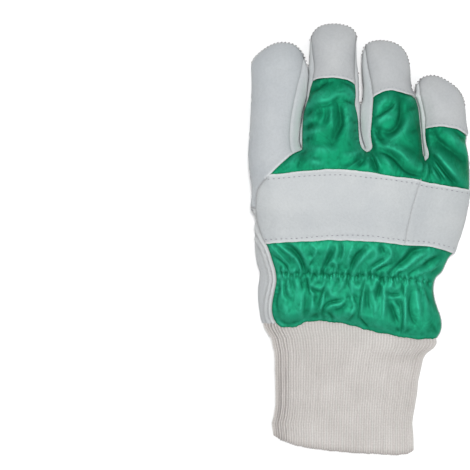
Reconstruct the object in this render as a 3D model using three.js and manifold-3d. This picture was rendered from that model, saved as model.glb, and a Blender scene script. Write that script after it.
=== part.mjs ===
// Fleece-lined work glove, right hand, lying palm down with its back up.
// Millimetres, +Z up. Fingers point to +Y, the index finger is on the -X side.
// The origin is at the middle of the glove's footprint, on the surface that it lies on.
import * as THREE from "three";
import { mergeVertices } from "three/addons/utils/BufferGeometryUtils.js";
import Module from "manifold-3d";

const wasm = await Module();
wasm.setup();

// ---- driving sizes ----
const WALL = 3.0; // leather or fabric with its fleece lining
const CUFF_WALL = 2.6; // ribbed knit, doubled
const GAP = 0.3; // between neighbouring pieces
const STRIP = 3.5; // narrowest side strip of a finger, a little over the wall
const PATCH_THICK = 1.4; // leather patch under the cuff
const SKY = 70; // above everything
const FINGER_POINTS = 12; // points round a finger's section
const HAND_POINTS = 24;
const THUMB_POINTS = 12;
const CUFF_POINTS = 18;
const FINGER_ROUND = 2.35; // exponents of the sections, 2 is an ellipse
const HAND_ROUND = 3.0;
const THUMB_ROUND = 2.8;
const CUFF_ROUND = 3.2;

// ---- finger tubes: a row for each section, from the base to the tip ----
const INDEX = [
  { y: 45.8, left: -67.6, right: -36.2, bottom: 14, top: 36 },
  { y: 62.0, left: -68.1, right: -37.7, bottom: 11.5, top: 34 },
  { y: 74.4, left: -67.6, right: -36.0, bottom: 9, top: 32 },
  { y: 86.8, left: -67.0, right: -33.7, bottom: 6.5, top: 29.5 },
  { y: 99.2, left: -66.8, right: -32.3, bottom: 3.5, top: 26.5 },
  { y: 107.9, left: -67.0, right: -32.5, bottom: 1, top: 24 },
  { y: 113.5, left: -65.1, right: -33.5, bottom: 0, top: 22 },
  { y: 117.8, left: -60.8, right: -36.3, bottom: 1.2, top: 20 },
  { y: 120.9, left: -55.8, right: -39.4, bottom: 3.8, top: 17.5 },
  { y: 122.5, left: -51.5, right: -44.0, bottom: 7.5, top: 13.8 },
];
const MIDDLE = [
  { y: 42.6, left: -34.6, right: 1.8, bottom: 15, top: 37 },
  { y: 62.0, left: -37.0, right: 0.5, bottom: 12.5, top: 35 },
  { y: 74.4, left: -35.2, right: -0.1, bottom: 10.5, top: 33 },
  { y: 86.8, left: -33.0, right: 0.0, bottom: 8, top: 31 },
  { y: 99.2, left: -31.3, right: -0.3, bottom: 5.3, top: 28.3 },
  { y: 111.6, left: -31.1, right: -0.9, bottom: 2.5, top: 25.5 },
  { y: 120.9, left: -31.1, right: -1.6, bottom: 0.5, top: 23 },
  { y: 126.5, left: -30.4, right: -1.6, bottom: 0, top: 21.3 },
  { y: 130.2, left: -27.9, right: -3.4, bottom: 1.5, top: 19.5 },
  { y: 132.7, left: -24.2, right: -7.4, bottom: 4, top: 17 },
  { y: 134.3, left: -19.2, right: -13.0, bottom: 7.5, top: 13.6 },
];
const RING = [
  { y: 40.6, left: 5.0, right: 38.4, bottom: 12.5, top: 34.5 },
  { y: 55.8, left: 3.8, right: 38.9, bottom: 11.5, top: 34 },
  { y: 62.0, left: 1.9, right: 37.8, bottom: 10.8, top: 33 },
  { y: 74.4, left: 0.7, right: 36.3, bottom: 9, top: 31 },
  { y: 86.8, left: 0.9, right: 34.5, bottom: 6.5, top: 29 },
  { y: 94.2, left: 1.0, right: 32.7, bottom: 5, top: 27.4 },
  { y: 101.7, left: 0.9, right: 32.1, bottom: 3.2, top: 25.4 },
  { y: 110.4, left: 0.6, right: 31.7, bottom: 0.8, top: 23.2 },
  { y: 115.3, left: 1.1, right: 29.4, bottom: 0, top: 21.5 },
  { y: 119.7, left: 2.8, right: 26.7, bottom: 1.5, top: 19.5 },
  { y: 122.1, left: 5.6, right: 22.3, bottom: 4, top: 17 },
  { y: 123.3, left: 9.3, right: 16.7, bottom: 7.2, top: 13.8 },
];
const LITTLE = [
  { y: 36.4, left: 41.6, right: 66.8, bottom: 6.5, top: 28.9 },
  { y: 50.8, left: 41.7, right: 67.0, bottom: 5.5, top: 28.5 },
  { y: 60.8, left: 38.8, right: 66.1, bottom: 4.5, top: 27 },
  { y: 70.1, left: 37.4, right: 66.0, bottom: 3.3, top: 25.3 },
  { y: 80.6, left: 36.0, right: 65.7, bottom: 1.5, top: 23.5 },
  { y: 88.0, left: 34.7, right: 64.2, bottom: 0.4, top: 21.8 },
  { y: 93.0, left: 34.3, right: 61.7, bottom: 0, top: 20.2 },
  { y: 96.7, left: 35.0, right: 58.3, bottom: 1.6, top: 18.3 },
  { y: 99.8, left: 37.5, right: 53.6, bottom: 4, top: 16 },
  { y: 101.7, left: 40.9, right: 48.4, bottom: 7, top: 13.4 },
];

// ---- hand: a row for each section, from the hem at the wrist to the crotches.
// L is at the index side, M over the thumb's tip, R at the little-finger side. ----
const HAND_STATIONS = { L: 0.08, M: 0.6, R: 0.93 };
const HAND = [
  { yL: -52.1, yR: -61.4, left: -61.7, right: 49.3, bottomL: 0.3, bottomM: 0.3, bottomR: 0.3, topL: 22, topM: 22.5, topR: 20.5 },
  { yL: -40.9, yR: -47.7, left: -62.4, right: 49.9, bottomL: 0.3, bottomM: 0.3, bottomR: 0.3, topL: 24.5, topM: 24.5, topR: 21 },
  { yL: -31.6, yR: -35.3, left: -62.6, right: 46.5, bottomL: 0.3, bottomM: 0.4, bottomR: 0.3, topL: 26.5, topM: 26.5, topR: 21.5 },
  { yL: -22.3, yR: -24.8, left: -62.0, right: 47.1, bottomL: 0.3, bottomM: 1, bottomR: 0.3, topL: 28, topM: 28, topR: 22.3 },
  { yL: -13.6, yR: -16.1, left: -62.9, right: 52.7, bottomL: 0.6, bottomM: 3, bottomR: 0.4, topL: 30, topM: 31, topR: 24 },
  { yL: -3.7, yR: -7.4, left: -64.6, right: 58.6, bottomL: 3.5, bottomM: 7, bottomR: 0.8, topL: 33, topM: 34, topR: 25.8 },
  { yL: 7.4, yR: 5.0, left: -64.7, right: 63.9, bottomL: 10, bottomM: 12.5, bottomR: 1.5, topL: 36, topM: 36.5, topR: 27.2 },
  { yL: 17.4, yR: 15.5, left: -65.7, right: 66.3, bottomL: 15.8, bottomM: 15.9, bottomR: 2.3, topL: 38, topM: 38, topR: 28.4 },
  { yL: 27.9, yR: 24.8, left: -67.0, right: 67.9, bottomL: 16.3, bottomM: 16.4, bottomR: 3, topL: 38.6, topM: 38.8, topR: 29.3 },
  { yL: 38.4, yR: 34.1, left: -67.7, right: 68.6, bottomL: 16.2, bottomM: 16.6, bottomR: 3.6, topL: 38.2, topM: 39, topR: 29.7 },
  { yL: 48.2, yR: 40.9, left: -68.4, right: 68.3, bottomL: 15, bottomM: 16.2, bottomR: 4.2, topL: 37, topM: 38.5, topR: 29.6 },
  { yL: 54.9, yR: 45.3, left: -68.6, right: 67.8, bottomL: 13.8, bottomM: 15.6, bottomR: 4.9, topL: 36, topM: 37.6, topR: 29 },
  { yL: 59.5, yR: 48.3, left: -68.4, right: 67.2, bottomL: 13, bottomM: 15.3, bottomR: 5.3, topL: 35, topM: 36.8, topR: 28.6 },
];

// ---- thumb, folded under the palm: each section goes from (x1, y1) to (x2, y2) ----
const THUMB = [
  { x1: -60.1, y1: -51.6, x2: -30.9, y2: -53.8, bottom: 0, top: 14.9 },
  { x1: -62.2, y1: -38.4, x2: -31.0, y2: -42.8, bottom: 0, top: 14.9 },
  { x1: -61.9, y1: -22.3, x2: -24.8, y2: -29.8, bottom: 0, top: 14.9 },
  { x1: -63.4, y1: -7.4, x2: -12.4, y2: -11.8, bottom: 0, top: 14.9 },
  { x1: -63.2, y1: 4.3, x2: -3.1, y2: 0.0, bottom: 0, top: 14.9 },
  { x1: -55.2, y1: 16.4, x2: 4.7, y2: 8.7, bottom: 0, top: 14.9 },
  { x1: -39.1, y1: 28.5, x2: 11.2, y2: 18.6, bottom: 0, top: 14.8 },
  { x1: -24.8, y1: 36.6, x2: 13.9, y2: 30.4, bottom: 0.1, top: 14.4 },
  { x1: -13.0, y1: 44.0, x2: 13.0, y2: 40.0, bottom: 0.6, top: 13.6 },
  { x1: -5.6, y1: 48.7, x2: 8.4, y2: 46.5, bottom: 3.2, top: 11 },
];

// ---- knit cuff, from its mouth to the end that is tucked into the hem ----
const CUFF = [
  { yL: -119.3, yR: -134.3, left: -53.3, right: 33.2, bottom: 0.3, top: 14.5 },
  { yL: -111.6, yR: -122.8, left: -54.1, right: 32.1, bottom: 0.3, top: 15.2 },
  { yL: -100.4, yR: -105.4, left: -52.0, right: 33.7, bottom: 0.3, top: 15.8 },
  { yL: -86.8, yR: -89.3, left: -52.1, right: 36.1, bottom: 0.3, top: 16.4 },
  { yL: -74.4, yR: -75.6, left: -52.6, right: 38.8, bottom: 0.3, top: 17 },
  { yL: -65.1, yR: -67.6, left: -54.2, right: 44.3, bottom: 0.3, top: 17.6 },
  { yL: -57.5, yR: -64.2, left: -56.1, right: 45.8, bottom: 1.2, top: 17.8 },
  { yL: -51.4, yR: -59.2, left: -57.0, right: 45.4, bottom: 3.9, top: 17.7 },
  { yL: -45.1, yR: -52.6, left: -57.2, right: 44.6, bottom: 3.9, top: 17.6 },
];

// ---- seam lines in plan, [x, y] ----
const BACK_EDGE = [[-57.4, 38.4], [-49.0, 46.5], [-42.8, 52.1], [-36.4, 57.0]]; // index leather against the green back
const SIDE_EDGE = [[-57.4, 38.4], [-64.2, 29.8], [-65.5, 21.7], [-63.0, 6.8], [-58.5, -3.1], [-52.1, -16.1], [-51.0, -22.3], [-52.7, -34.1], [-54.1, -43.4], [-51.5, -52.1], [-51.5, -66]];
const BAND_TOP = [[-57.4, 39.4], [-45.3, 41.7], [-17.4, 44.0], [0.6, 42.8], [37.2, 37.2], [76.0, 30.3]];
const BAND_BOTTOM = [[-58.5, -3.1], [-40.9, -1.2], [-21.1, 0.0], [-5.6, -0.6], [27.9, -3.1], [44.0, -5.6], [76, -11.5]];
const BAND_JOIN = [[37.2, 37.2], [32.2, 18.6], [27.9, -3.1]];
const CAP_MIDDLE = [[-34.0, 97.9], [-24.2, 100.3], [-16.1, 101.1], [-8.7, 99.8], [-2.5, 97.0], [0.3, 96.3]];
const CAP_RING = [[0.3, 87.2], [8.1, 88.7], [14.3, 91.8], [20.5, 93.0], [27.3, 91.1], [33.8, 88.0], [36.2, 87.2]];
const CAP_LITTLE = [[37.2, 69.2], [48.4, 70.5], [56.4, 69.8], [62.3, 67.6], [66.3, 63.2], [76, 59.4]];
const PALM_CUT = [[-36.2, 49.6], [-29.1, 48.8], [-20.5, 46.4], [-0.6, 45.6], [27.3, 45.4], [33.0, 44.6], [38.6, 42.6]]; // under the middle and ring fingers
const PATCH = [[-31, -63.2], [-29.6, -84], [-24.2, -103.5], [-4.3, -106.3], [14.3, -103.5], [25, -99.5], [23.9, -66.2]];

// ---- strips between the fingers: a row for each height, strip width on either finger ----
const STRIP_ROWS = [
  { name: "fourchette_index_middle", a: INDEX, b: MIDDLE, top: 128, foot: 52.2, width: [{ y: 56, a: 5.3, b: STRIP }, { y: 86, a: 6.3, b: STRIP }, { y: 100, a: 5.6, b: STRIP }, { y: 112, a: STRIP, b: STRIP }] },
  { name: "fourchette_middle_ring", a: MIDDLE, b: RING, top: 130, foot: 48.9, width: [{ y: 56, a: STRIP, b: 5.2 }, { y: 70, a: STRIP, b: 6.6 }, { y: 90, a: STRIP, b: 6.9 }, { y: 112, a: STRIP, b: STRIP }] },
  { name: "fourchette_ring_little", a: RING, b: LITTLE, top: 118, foot: 45.6, width: [{ y: 50, a: STRIP, b: STRIP }, { y: 112, a: STRIP, b: STRIP }] },
];

const LEATHER = { color: 0xc6cbce, roughness: 0.62, metalness: 0 };
const GREEN = { color: 0x1aa06e, roughness: 0.36, metalness: 0 };
const KNIT = { color: 0xcfc6c0, roughness: 0.95, metalness: 0 };

// ---- helpers ----
const lerp = THREE.MathUtils.lerp;
const smooth = (a, b, x) => THREE.MathUtils.smoothstep(x, a, b);
const along = (rows, y, key) => {
  // a column of a table at a height between its rows
  if (y <= rows[0].y) return rows[0][key];
  for (let i = 1; i < rows.length; i++)
    if (y <= rows[i].y) return lerp(rows[i - 1][key], rows[i][key], (y - rows[i - 1].y) / (rows[i].y - rows[i - 1].y));
  return rows.at(-1)[key];
};

function solid(geometry) {
  const g = geometry.clone();
  for (const name of Object.keys(g.attributes)) if (name !== "position") g.deleteAttribute(name);
  const m = mergeVertices(g, 1e-4);
  return new wasm.Manifold(new wasm.Mesh({
    numProp: 3,
    vertProperties: new Float32Array(m.attributes.position.array),
    triVerts: new Uint32Array(m.index.array),
  }));
}

// A closed tube through rings of points, with a fan on either end.
function loft(rings) {
  const n = rings[0].length, points = rings.flat(), index = [];
  for (let i = 0; i + 1 < rings.length; i++)
    for (let k = 0; k < n; k++) {
      const a = i * n + k, b = i * n + ((k + 1) % n), c = a + n, d = b + n;
      index.push(a, b, d, a, d, c);
    }
  for (const [ring, flip] of [[0, true], [rings.length - 1, false]]) {
    const middle = rings[ring].reduce((s, p) => s.add(p), new THREE.Vector3()).divideScalar(n);
    points.push(middle);
    for (let k = 0; k < n; k++) {
      const a = ring * n + k, b = ring * n + ((k + 1) % n), m = points.length - 1;
      index.push(...(flip ? [b, a, m] : [a, b, m]));
    }
  }
  const g = new THREE.BufferGeometry();
  g.setAttribute("position", new THREE.Float32BufferAttribute(points.flatMap((p) => p.toArray()), 3));
  g.setIndex(index);
  const s = solid(g);
  return s.volume() < 0 ? solid(flipped(g)) : s;
}
function flipped(g) {
  const index = g.index.array;
  for (let i = 0; i < index.length; i += 3) [index[i], index[i + 1]] = [index[i + 1], index[i]];
  return g;
}

// Points round a closed section between two corner values, fuller than an ellipse.
function around(n, power) {
  return Array.from({ length: n }, (_, k) => {
    const t = (2 * Math.PI * (k + 0.5)) / n;
    const bend = (v) => Math.sign(v) * Math.pow(Math.abs(v), 2 / power);
    return { across: bend(Math.cos(t)), up: bend(Math.sin(t)) };
  });
}

function fingerTube(rows, inset) {
  return loft(rows.map((r, i) => {
    const half = Math.max(0.5, (r.right - r.left) / 2 - inset), tall = Math.max(0.5, (r.top - r.bottom) / 2 - inset);
    const y = r.y + (i === 0 ? inset : -inset);
    return around(FINGER_POINTS, FINGER_ROUND).map((p) =>
      new THREE.Vector3((r.left + r.right) / 2 + half * p.across, y, (r.top + r.bottom) / 2 + tall * p.up));
  }));
}

function handLevel(r, which, u) {
  const { L, M, R } = HAND_STATIONS;
  return u < M ? lerp(r[which + "L"], r[which + "M"], smooth(L, M, u)) : lerp(r[which + "M"], r[which + "R"], smooth(M, R, u));
}
function handTube(inset) {
  return loft(HAND.map((r, i) => around(HAND_POINTS, HAND_ROUND).map((p) => {
    const u = 0.5 + 0.5 * p.across;
    const bottom = handLevel(r, "bottom", u) + inset, top = handLevel(r, "top", u) - inset;
    const y = lerp(r.yL, r.yR, u) - (i === 0 || i === HAND.length - 1 ? inset : 0);
    return new THREE.Vector3(lerp(r.left + inset, r.right - inset, u), y, (top + bottom) / 2 + ((top - bottom) / 2) * p.up);
  })));
}

function thumbTube(inset) {
  return loft(THUMB.map((r, i) => {
    const a = new THREE.Vector2(r.x1, r.y1), b = new THREE.Vector2(r.x2, r.y2);
    const d = b.clone().sub(a).normalize(), forward = new THREE.Vector2(-d.y, d.x);
    a.addScaledVector(d, inset);
    b.addScaledVector(d, -inset);
    const back = i === 0 ? Math.abs(inset) : i >= THUMB.length - 2 ? inset : 0;
    const bottom = r.bottom + inset, top = Math.max(r.top - inset, bottom + 0.8);
    return around(THUMB_POINTS, THUMB_ROUND).map((p) => {
      const q = a.clone().lerp(b, 0.5 + 0.5 * p.across).addScaledVector(forward, -back);
      return new THREE.Vector3(q.x, q.y, (top + bottom) / 2 + ((top - bottom) / 2) * p.up);
    });
  }));
}

function cuffTube(inset, past = 0) {
  return loft(CUFF.map((r, i) => around(CUFF_POINTS, CUFF_ROUND).map((p) => {
    const u = 0.5 + 0.5 * p.across, bottom = r.bottom + inset, top = r.top - inset;
    const end = i === 0 ? -past : i === CUFF.length - 1 ? past : 0;
    return new THREE.Vector3(lerp(r.left + inset, r.right - inset, u), lerp(r.yL, r.yR, u) + end, (top + bottom) / 2 + ((top - bottom) / 2) * p.up);
  })));
}

// A plan outline grown (or shrunk, if negative) by a distance.
function grown(outline, by) {
  const pts = outline.map(([x, y]) => new THREE.Vector2(x, y));
  if (THREE.ShapeUtils.area(pts) < 0) pts.reverse();
  return pts.map((p, i) => {
    const before = pts.at(i - 1), after = pts[(i + 1) % pts.length];
    const d1 = p.clone().sub(before).normalize(), d2 = after.clone().sub(p).normalize();
    const n1 = new THREE.Vector2(d1.y, -d1.x), n2 = new THREE.Vector2(d2.y, -d2.x);
    const out = n1.clone().add(n2).normalize();
    return p.clone().addScaledVector(out, by / Math.max(0.35, out.dot(n1)));
  });
}
function column(outline, by, from = -5, to = SKY) {
  const g = new THREE.ExtrudeGeometry(new THREE.Shape(grown(outline, by)), { depth: to - from, bevelEnabled: false });
  g.translate(0, 0, from);
  return solid(g);
}

// Everything above the level at which the top pieces meet the bottom ones.
function above(shift) {
  const box = (xa, za, xb, zb, ya, yb) => [
    new THREE.Vector3(xa, ya, za + shift), new THREE.Vector3(xb, yb, zb + shift),
    new THREE.Vector3(xb, yb, SKY), new THREE.Vector3(xa, ya, SKY),
  ];
  const hand = loft(HAND.map((r, i) => {
    const end = i === 0 ? -4 : 0;
    return box(r.left - 4, (r.bottomL + r.topL) / 2, r.right + 4, (r.bottomR + r.topR) / 2, r.yL + end, r.yR + end);
  }));
  const fingers = [INDEX, MIDDLE, RING, LITTLE].map((rows) => loft(rows.map((r, i) => {
    const end = i === rows.length - 1 ? 4 : 0, side = rows === LITTLE ? 4 : 0.3;
    return box(r.left - 0.3, (r.bottom + r.top) / 2, r.right + side, (r.bottom + r.top) / 2, r.y + end, r.y + end);
  })));
  return fingers.reduce((a, b) => a.add(b), hand);
}

function stripOutline({ a, b, top, foot, width }) {
  const left = [], right = [];
  const first = foot + 3.6;
  for (let y = first, n = 0; n < 9; n++, y = first + ((top - first) * n) / 8) {
    left.push([along(a, y, "right") - along(width, y, "a"), y]);
    right.push([along(b, y, "left") + along(width, y, "b"), y]);
  }
  const middle = (left[0][0] + right[0][0]) / 2;
  const meet = (side, from) => side.findIndex((p, i) => i > 0 && p[1] >= from);
  // past both finger tips the strip ends in the open gap
  const cutA = a.at(-1).y - 3, cutB = b.at(-1).y - 3;
  const gapAt = (y) => (along(a, Math.min(y, a.at(-1).y), "right") + along(b, Math.min(y, b.at(-1).y), "left")) / 2;
  const leftSide = left.filter((p) => p[1] <= cutA), rightSide = right.filter((p) => p[1] <= cutB);
  return [[left[0][0] + 1.5, foot + 0.6], ...leftSide, [gapAt(cutA), cutA + 0.5], [gapAt(cutB), cutB + 0.5], ...rightSide.reverse(), [right[0][0] - 1.5, foot + 0.6], [middle, foot]];
}

// ---- the glove's shell, in one ----
const fingers = [INDEX, MIDDLE, RING, LITTLE];
const join = (list) => list.reduce((a, b) => a.add(b));
const thumbOuter = thumbTube(0);
const outer = join([handTube(0), ...fingers.map((f) => fingerTube(f, 0)), thumbOuter]);
const inner = join([handTube(WALL), ...fingers.map((f) => fingerTube(f, WALL)), thumbTube(WALL)]);
const cuffOuter = cuffTube(0);
const shell = outer.subtract(inner).subtract(cuffTube(-GAP, 1));

// ---- cutters ----
const half = GAP / 2;
const top = above(half), belowTop = above(-half);
const strips = STRIP_ROWS.map((s) => ({ name: s.name, outline: stripOutline(s) }));
const stripsOut = join(strips.map((s) => column(s.outline, half)));
const indexRegion = [[-90, 150], [-90, 21.7], ...SIDE_EDGE.slice(0, 3).reverse(), ...BACK_EDGE.slice(1), [-36.4, 100], [-32, 150]];
const sideRegion = [[-90, 21.7], ...SIDE_EDGE.slice(2), [-90, -66]];
const upperRegion = [...BACK_EDGE, ...CAP_MIDDLE, ...CAP_RING, ...CAP_LITTLE, ...BAND_TOP.slice(1).reverse()];
const capRegions = {
  tip_middle: [...CAP_MIDDLE, [0.3, 150], [-34, 150]],
  tip_ring: [...CAP_RING, [36.2, 150], [0.3, 150]],
  tip_little: [...CAP_LITTLE, [90, 150], [37.2, 150]],
};
const bandRegion = [...SIDE_EDGE.slice(0, 5).reverse(), ...BAND_TOP.slice(1, 5), ...BAND_JOIN.slice(1), ...BAND_BOTTOM.slice(1, 4).reverse()];
const bandSideRegion = [...BAND_JOIN.slice().reverse(), BAND_TOP[5], BAND_BOTTOM[6], BAND_BOTTOM[5]];
const lowerRegion = [...SIDE_EDGE.slice(4), [76, -70], ...BAND_BOTTOM.slice(1).reverse()];
const frontRegion = [...PALM_CUT, [37, 56], [37, 150], [-33.5, 150], [-36.2, 60]];

// ---- pieces ----
const pieces = {};
const upper = shell.intersect(top).subtract(stripsOut);
pieces.back_upper = upper.intersect(column(upperRegion, -half));
for (const [name, region] of Object.entries(capRegions)) pieces[name] = upper.intersect(column(region, -half));
pieces.knuckle_band = upper.intersect(column(bandRegion, -half));
pieces.knuckle_band_side = upper.intersect(column(bandSideRegion, -half));
pieces.back_lower = upper.intersect(column(lowerRegion, -half));
for (const s of strips) pieces[s.name] = shell.intersect(column(s.outline, -half));

const sideColumn = column(sideRegion, -half);
pieces.thumb = shell.intersect(thumbOuter.add(sideColumn));
const thumbOut = thumbTube(-GAP);
const lower = shell.subtract(belowTop).subtract(stripsOut).subtract(thumbOut);
pieces.middle_ring_front = lower.intersect(column(frontRegion, -half));
pieces.palm = lower.subtract(column(frontRegion, half)).add(shell.intersect(column(indexRegion, -half)).subtract(stripsOut))
  .subtract(thumbOut).subtract(column(sideRegion, half));

const patchColumn = column(PATCH, 0, 0, PATCH_THICK);
pieces.cuff = cuffOuter.subtract(cuffTube(CUFF_WALL, 3)).subtract(column(PATCH, GAP, -1, PATCH_THICK + GAP));
pieces.pulse_patch = patchColumn;

// ---- meshes ----
const FINISH = {
  back_upper: GREEN, back_lower: GREEN, cuff: KNIT,
};
const glove = new THREE.Group();
const SPECK = 10; // mm3: crumbs left by a cut, such as past a finger's tip
for (const [name, piece] of Object.entries(pieces)) {
  const parts = piece.decompose().filter((p) => p.volume() > SPECK);
  const body = parts.sort((a, b) => b.volume() - a.volume())[0];
  const mesh = body.simplify(0.1).getMesh();
  const g = new THREE.BufferGeometry();
  g.setAttribute("position", new THREE.BufferAttribute(Float32Array.from(mesh.vertProperties), 3));
  g.setIndex(new THREE.BufferAttribute(Uint32Array.from(mesh.triVerts), 1));
  g.computeVertexNormals();
  const m = new THREE.Mesh(g, new THREE.MeshStandardMaterial(FINISH[name] ?? LEATHER));
  m.name = name;
  glove.add(m);
  if (parts.length > 1) m.userData.other = parts.slice(1).map((p) => [p.volume().toFixed(1), p.boundingBox()]);
}
glove.name = "work_glove";

export default glove;
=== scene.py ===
import math

import bpy
import numpy as np
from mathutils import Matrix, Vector
from mathutils.bvhtree import BVHTree
from mathutils.geometry import delaunay_2d_cdt
from mathutils.kdtree import KDTree


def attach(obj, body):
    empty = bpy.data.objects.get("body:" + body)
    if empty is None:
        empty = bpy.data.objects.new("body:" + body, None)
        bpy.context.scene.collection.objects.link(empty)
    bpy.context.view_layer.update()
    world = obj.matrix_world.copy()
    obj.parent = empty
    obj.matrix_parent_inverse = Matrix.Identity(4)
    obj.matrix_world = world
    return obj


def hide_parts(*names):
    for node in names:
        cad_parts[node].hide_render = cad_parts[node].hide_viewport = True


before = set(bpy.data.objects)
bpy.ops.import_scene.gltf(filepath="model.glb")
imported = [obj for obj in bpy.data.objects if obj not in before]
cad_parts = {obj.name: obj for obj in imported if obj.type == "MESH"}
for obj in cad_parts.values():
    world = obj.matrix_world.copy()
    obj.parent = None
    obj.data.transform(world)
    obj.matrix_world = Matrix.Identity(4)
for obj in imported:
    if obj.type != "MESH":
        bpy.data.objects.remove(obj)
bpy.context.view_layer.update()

MM = 0.001

# The glove is worked out in millimetres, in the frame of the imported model: back up, fingers to +Y,
# index finger on the -X side. Lines that were traced are in the photograph's 470 x 470 frame.
PX = 0.62  # mm to a pixel
X0, Y0 = 359.0, 240.0  # the pixel over the origin
VIEW_CENTRE = (234.35, 235.0)
VIEW_WIDTH = 470.0 * PX
VIEW_LEVEL = 15.0  # height at which that scale holds
LENS = 200.0

GRID_TOP = 0.95  # mm between the mesh points of the back
GRID_CLOTH = 0.6  # and in the green cloth
GRID_UNDER = 1.35
EDGE_ROWS = (0.08, 0.3, 0.65, 1.15)  # mm from the outline, where the side is steep
SLIT = 0.09  # half the gap between two fingers that touch
LEATHER_WALL = 1.4
CLOTH_WALL = 0.9
HEM_TOP = 18.9  # the hem, over the cuff
LAP = 0.85  # a piece sewn on top of its neighbour stands this proud
UNDERLAP = 3.2  # and the neighbour goes on under it this far


# ---------------------------------------------------------------- helpers
def smooth(a, b, x):
    t = np.clip((np.asarray(x, float) - a) / (b - a), 0.0, 1.0)
    return t * t * (3 - 2 * t)


def mix(a, b, t):
    return a + (b - a) * t


def photo(points):
    p = np.asarray(points, float)
    return np.stack([(p[:, 0] - X0) * PX, (Y0 - p[:, 1]) * PX], 1)


def through(points, step=0.8):
    """A smooth line through points, with even steps."""
    p = np.asarray(points, float)
    t = np.concatenate([[0], np.cumsum(np.linalg.norm(np.diff(p, axis=0), axis=1))])
    m = np.empty_like(p)
    m[1:-1] = (p[2:] - p[:-2]) / (t[2:] - t[:-2])[:, None]
    m[0], m[-1] = (p[1] - p[0]) / (t[1] - t[0]), (p[-1] - p[-2]) / (t[-1] - t[-2])
    dense = []
    for i in range(len(p) - 1):
        h = t[i + 1] - t[i]
        s = np.linspace(0, 1, max(3, int(h / 0.1)), endpoint=False)[:, None]
        dense.append((2 * s**3 - 3 * s**2 + 1) * p[i] + (s**3 - 2 * s**2 + s) * h * m[i]
                     + (-2 * s**3 + 3 * s**2) * p[i + 1] + (s**3 - s**2) * h * m[i + 1])
    return even(np.concatenate(dense + [p[-1:]]), step)


def even(p, step):
    t = np.concatenate([[0], np.cumsum(np.linalg.norm(np.diff(p, axis=0), axis=1))])
    n = max(2, int(round(t[-1] / step)) + 1)
    s = np.linspace(0, t[-1], n)
    return np.stack([np.interp(s, t, p[:, k]) for k in range(p.shape[1])], 1)


def line(points, step=0.8):
    return through(photo(points), step)


def snapped(poly, targets, end):
    """The line with one end moved to the nearest of the targets' points."""
    poly = poly.copy()
    every = np.concatenate(targets)
    poly[end] = every[np.argmin(np.linalg.norm(every - poly[end], axis=1))]
    return poly


class Near:
    """Distances from points to a line, in plan, and how far along it they lie."""

    def __init__(self, lines, step=0.2):
        pieces = [even(np.asarray(l, float), step) for l in lines]
        self.a = np.concatenate([p[:-1] for p in pieces])
        self.b = np.concatenate([p[1:] for p in pieces])
        self.s = np.concatenate([np.concatenate([[0], np.cumsum(np.linalg.norm(np.diff(p, axis=0), axis=1))])[:-1] for p in pieces])
        middle = (self.a + self.b) / 2
        self.tree = KDTree(len(middle))
        for i, (x, y) in enumerate(middle):
            self.tree.insert((x, y, 0), i)
        self.tree.balance()

    def __call__(self, pts, far=40.0, along=False):
        out = np.full(len(pts), far)
        idx = np.array([self.tree.find((x, y, 0))[1] for x, y in pts[:, :2]], int)
        for shift in (-1, 0, 1):
            k = np.clip(idx + shift, 0, len(self.a) - 1)
            a, b = self.a[k], self.b[k]
            ab = b - a
            t = np.clip(((pts[:, :2] - a) * ab).sum(1) / np.maximum((ab**2).sum(1), 1e-12), 0, 1)
            out = np.minimum(out, np.linalg.norm(pts[:, :2] - a - ab * t[:, None], axis=1))
        return (out, self.s[idx] if len(pts) else out) if along else out


def inside(pts, poly):
    x, y = pts[:, 0], pts[:, 1]
    hit = np.zeros(len(pts), bool)
    a = poly
    b = np.roll(poly, -1, axis=0)
    for (x1, y1), (x2, y2) in zip(a, b):
        if y1 == y2:
            continue
        hit ^= ((y1 > y) != (y2 > y)) & (x < (x2 - x1) * (y - y1) / (y2 - y1) + x1)
    return hit


def noise(pts, size, seed, stretch=(1.0, 1.0), turn=0.0):
    """Smooth random values, about -1 to 1, with bumps of a size in mm."""
    r = np.random.default_rng(seed)
    grid = r.uniform(-1, 1, (64, 64))
    c, s = math.cos(turn), math.sin(turn)
    u = (pts[:, 0] * c + pts[:, 1] * s) / (size * stretch[0]) + 31.7
    v = (-pts[:, 0] * s + pts[:, 1] * c) / (size * stretch[1]) + 17.3
    iu, iv = np.floor(u).astype(int), np.floor(v).astype(int)
    fu, fv = u - iu, v - iv
    fu, fv = fu * fu * fu * (fu * (fu * 6 - 15) + 10), fv * fv * fv * (fv * (fv * 6 - 15) + 10)
    g = lambda i, j: grid[i % 64, j % 64]
    return mix(mix(g(iu, iv), g(iu + 1, iv), fu), mix(g(iu, iv + 1), g(iu + 1, iv + 1), fu), fv)


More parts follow.
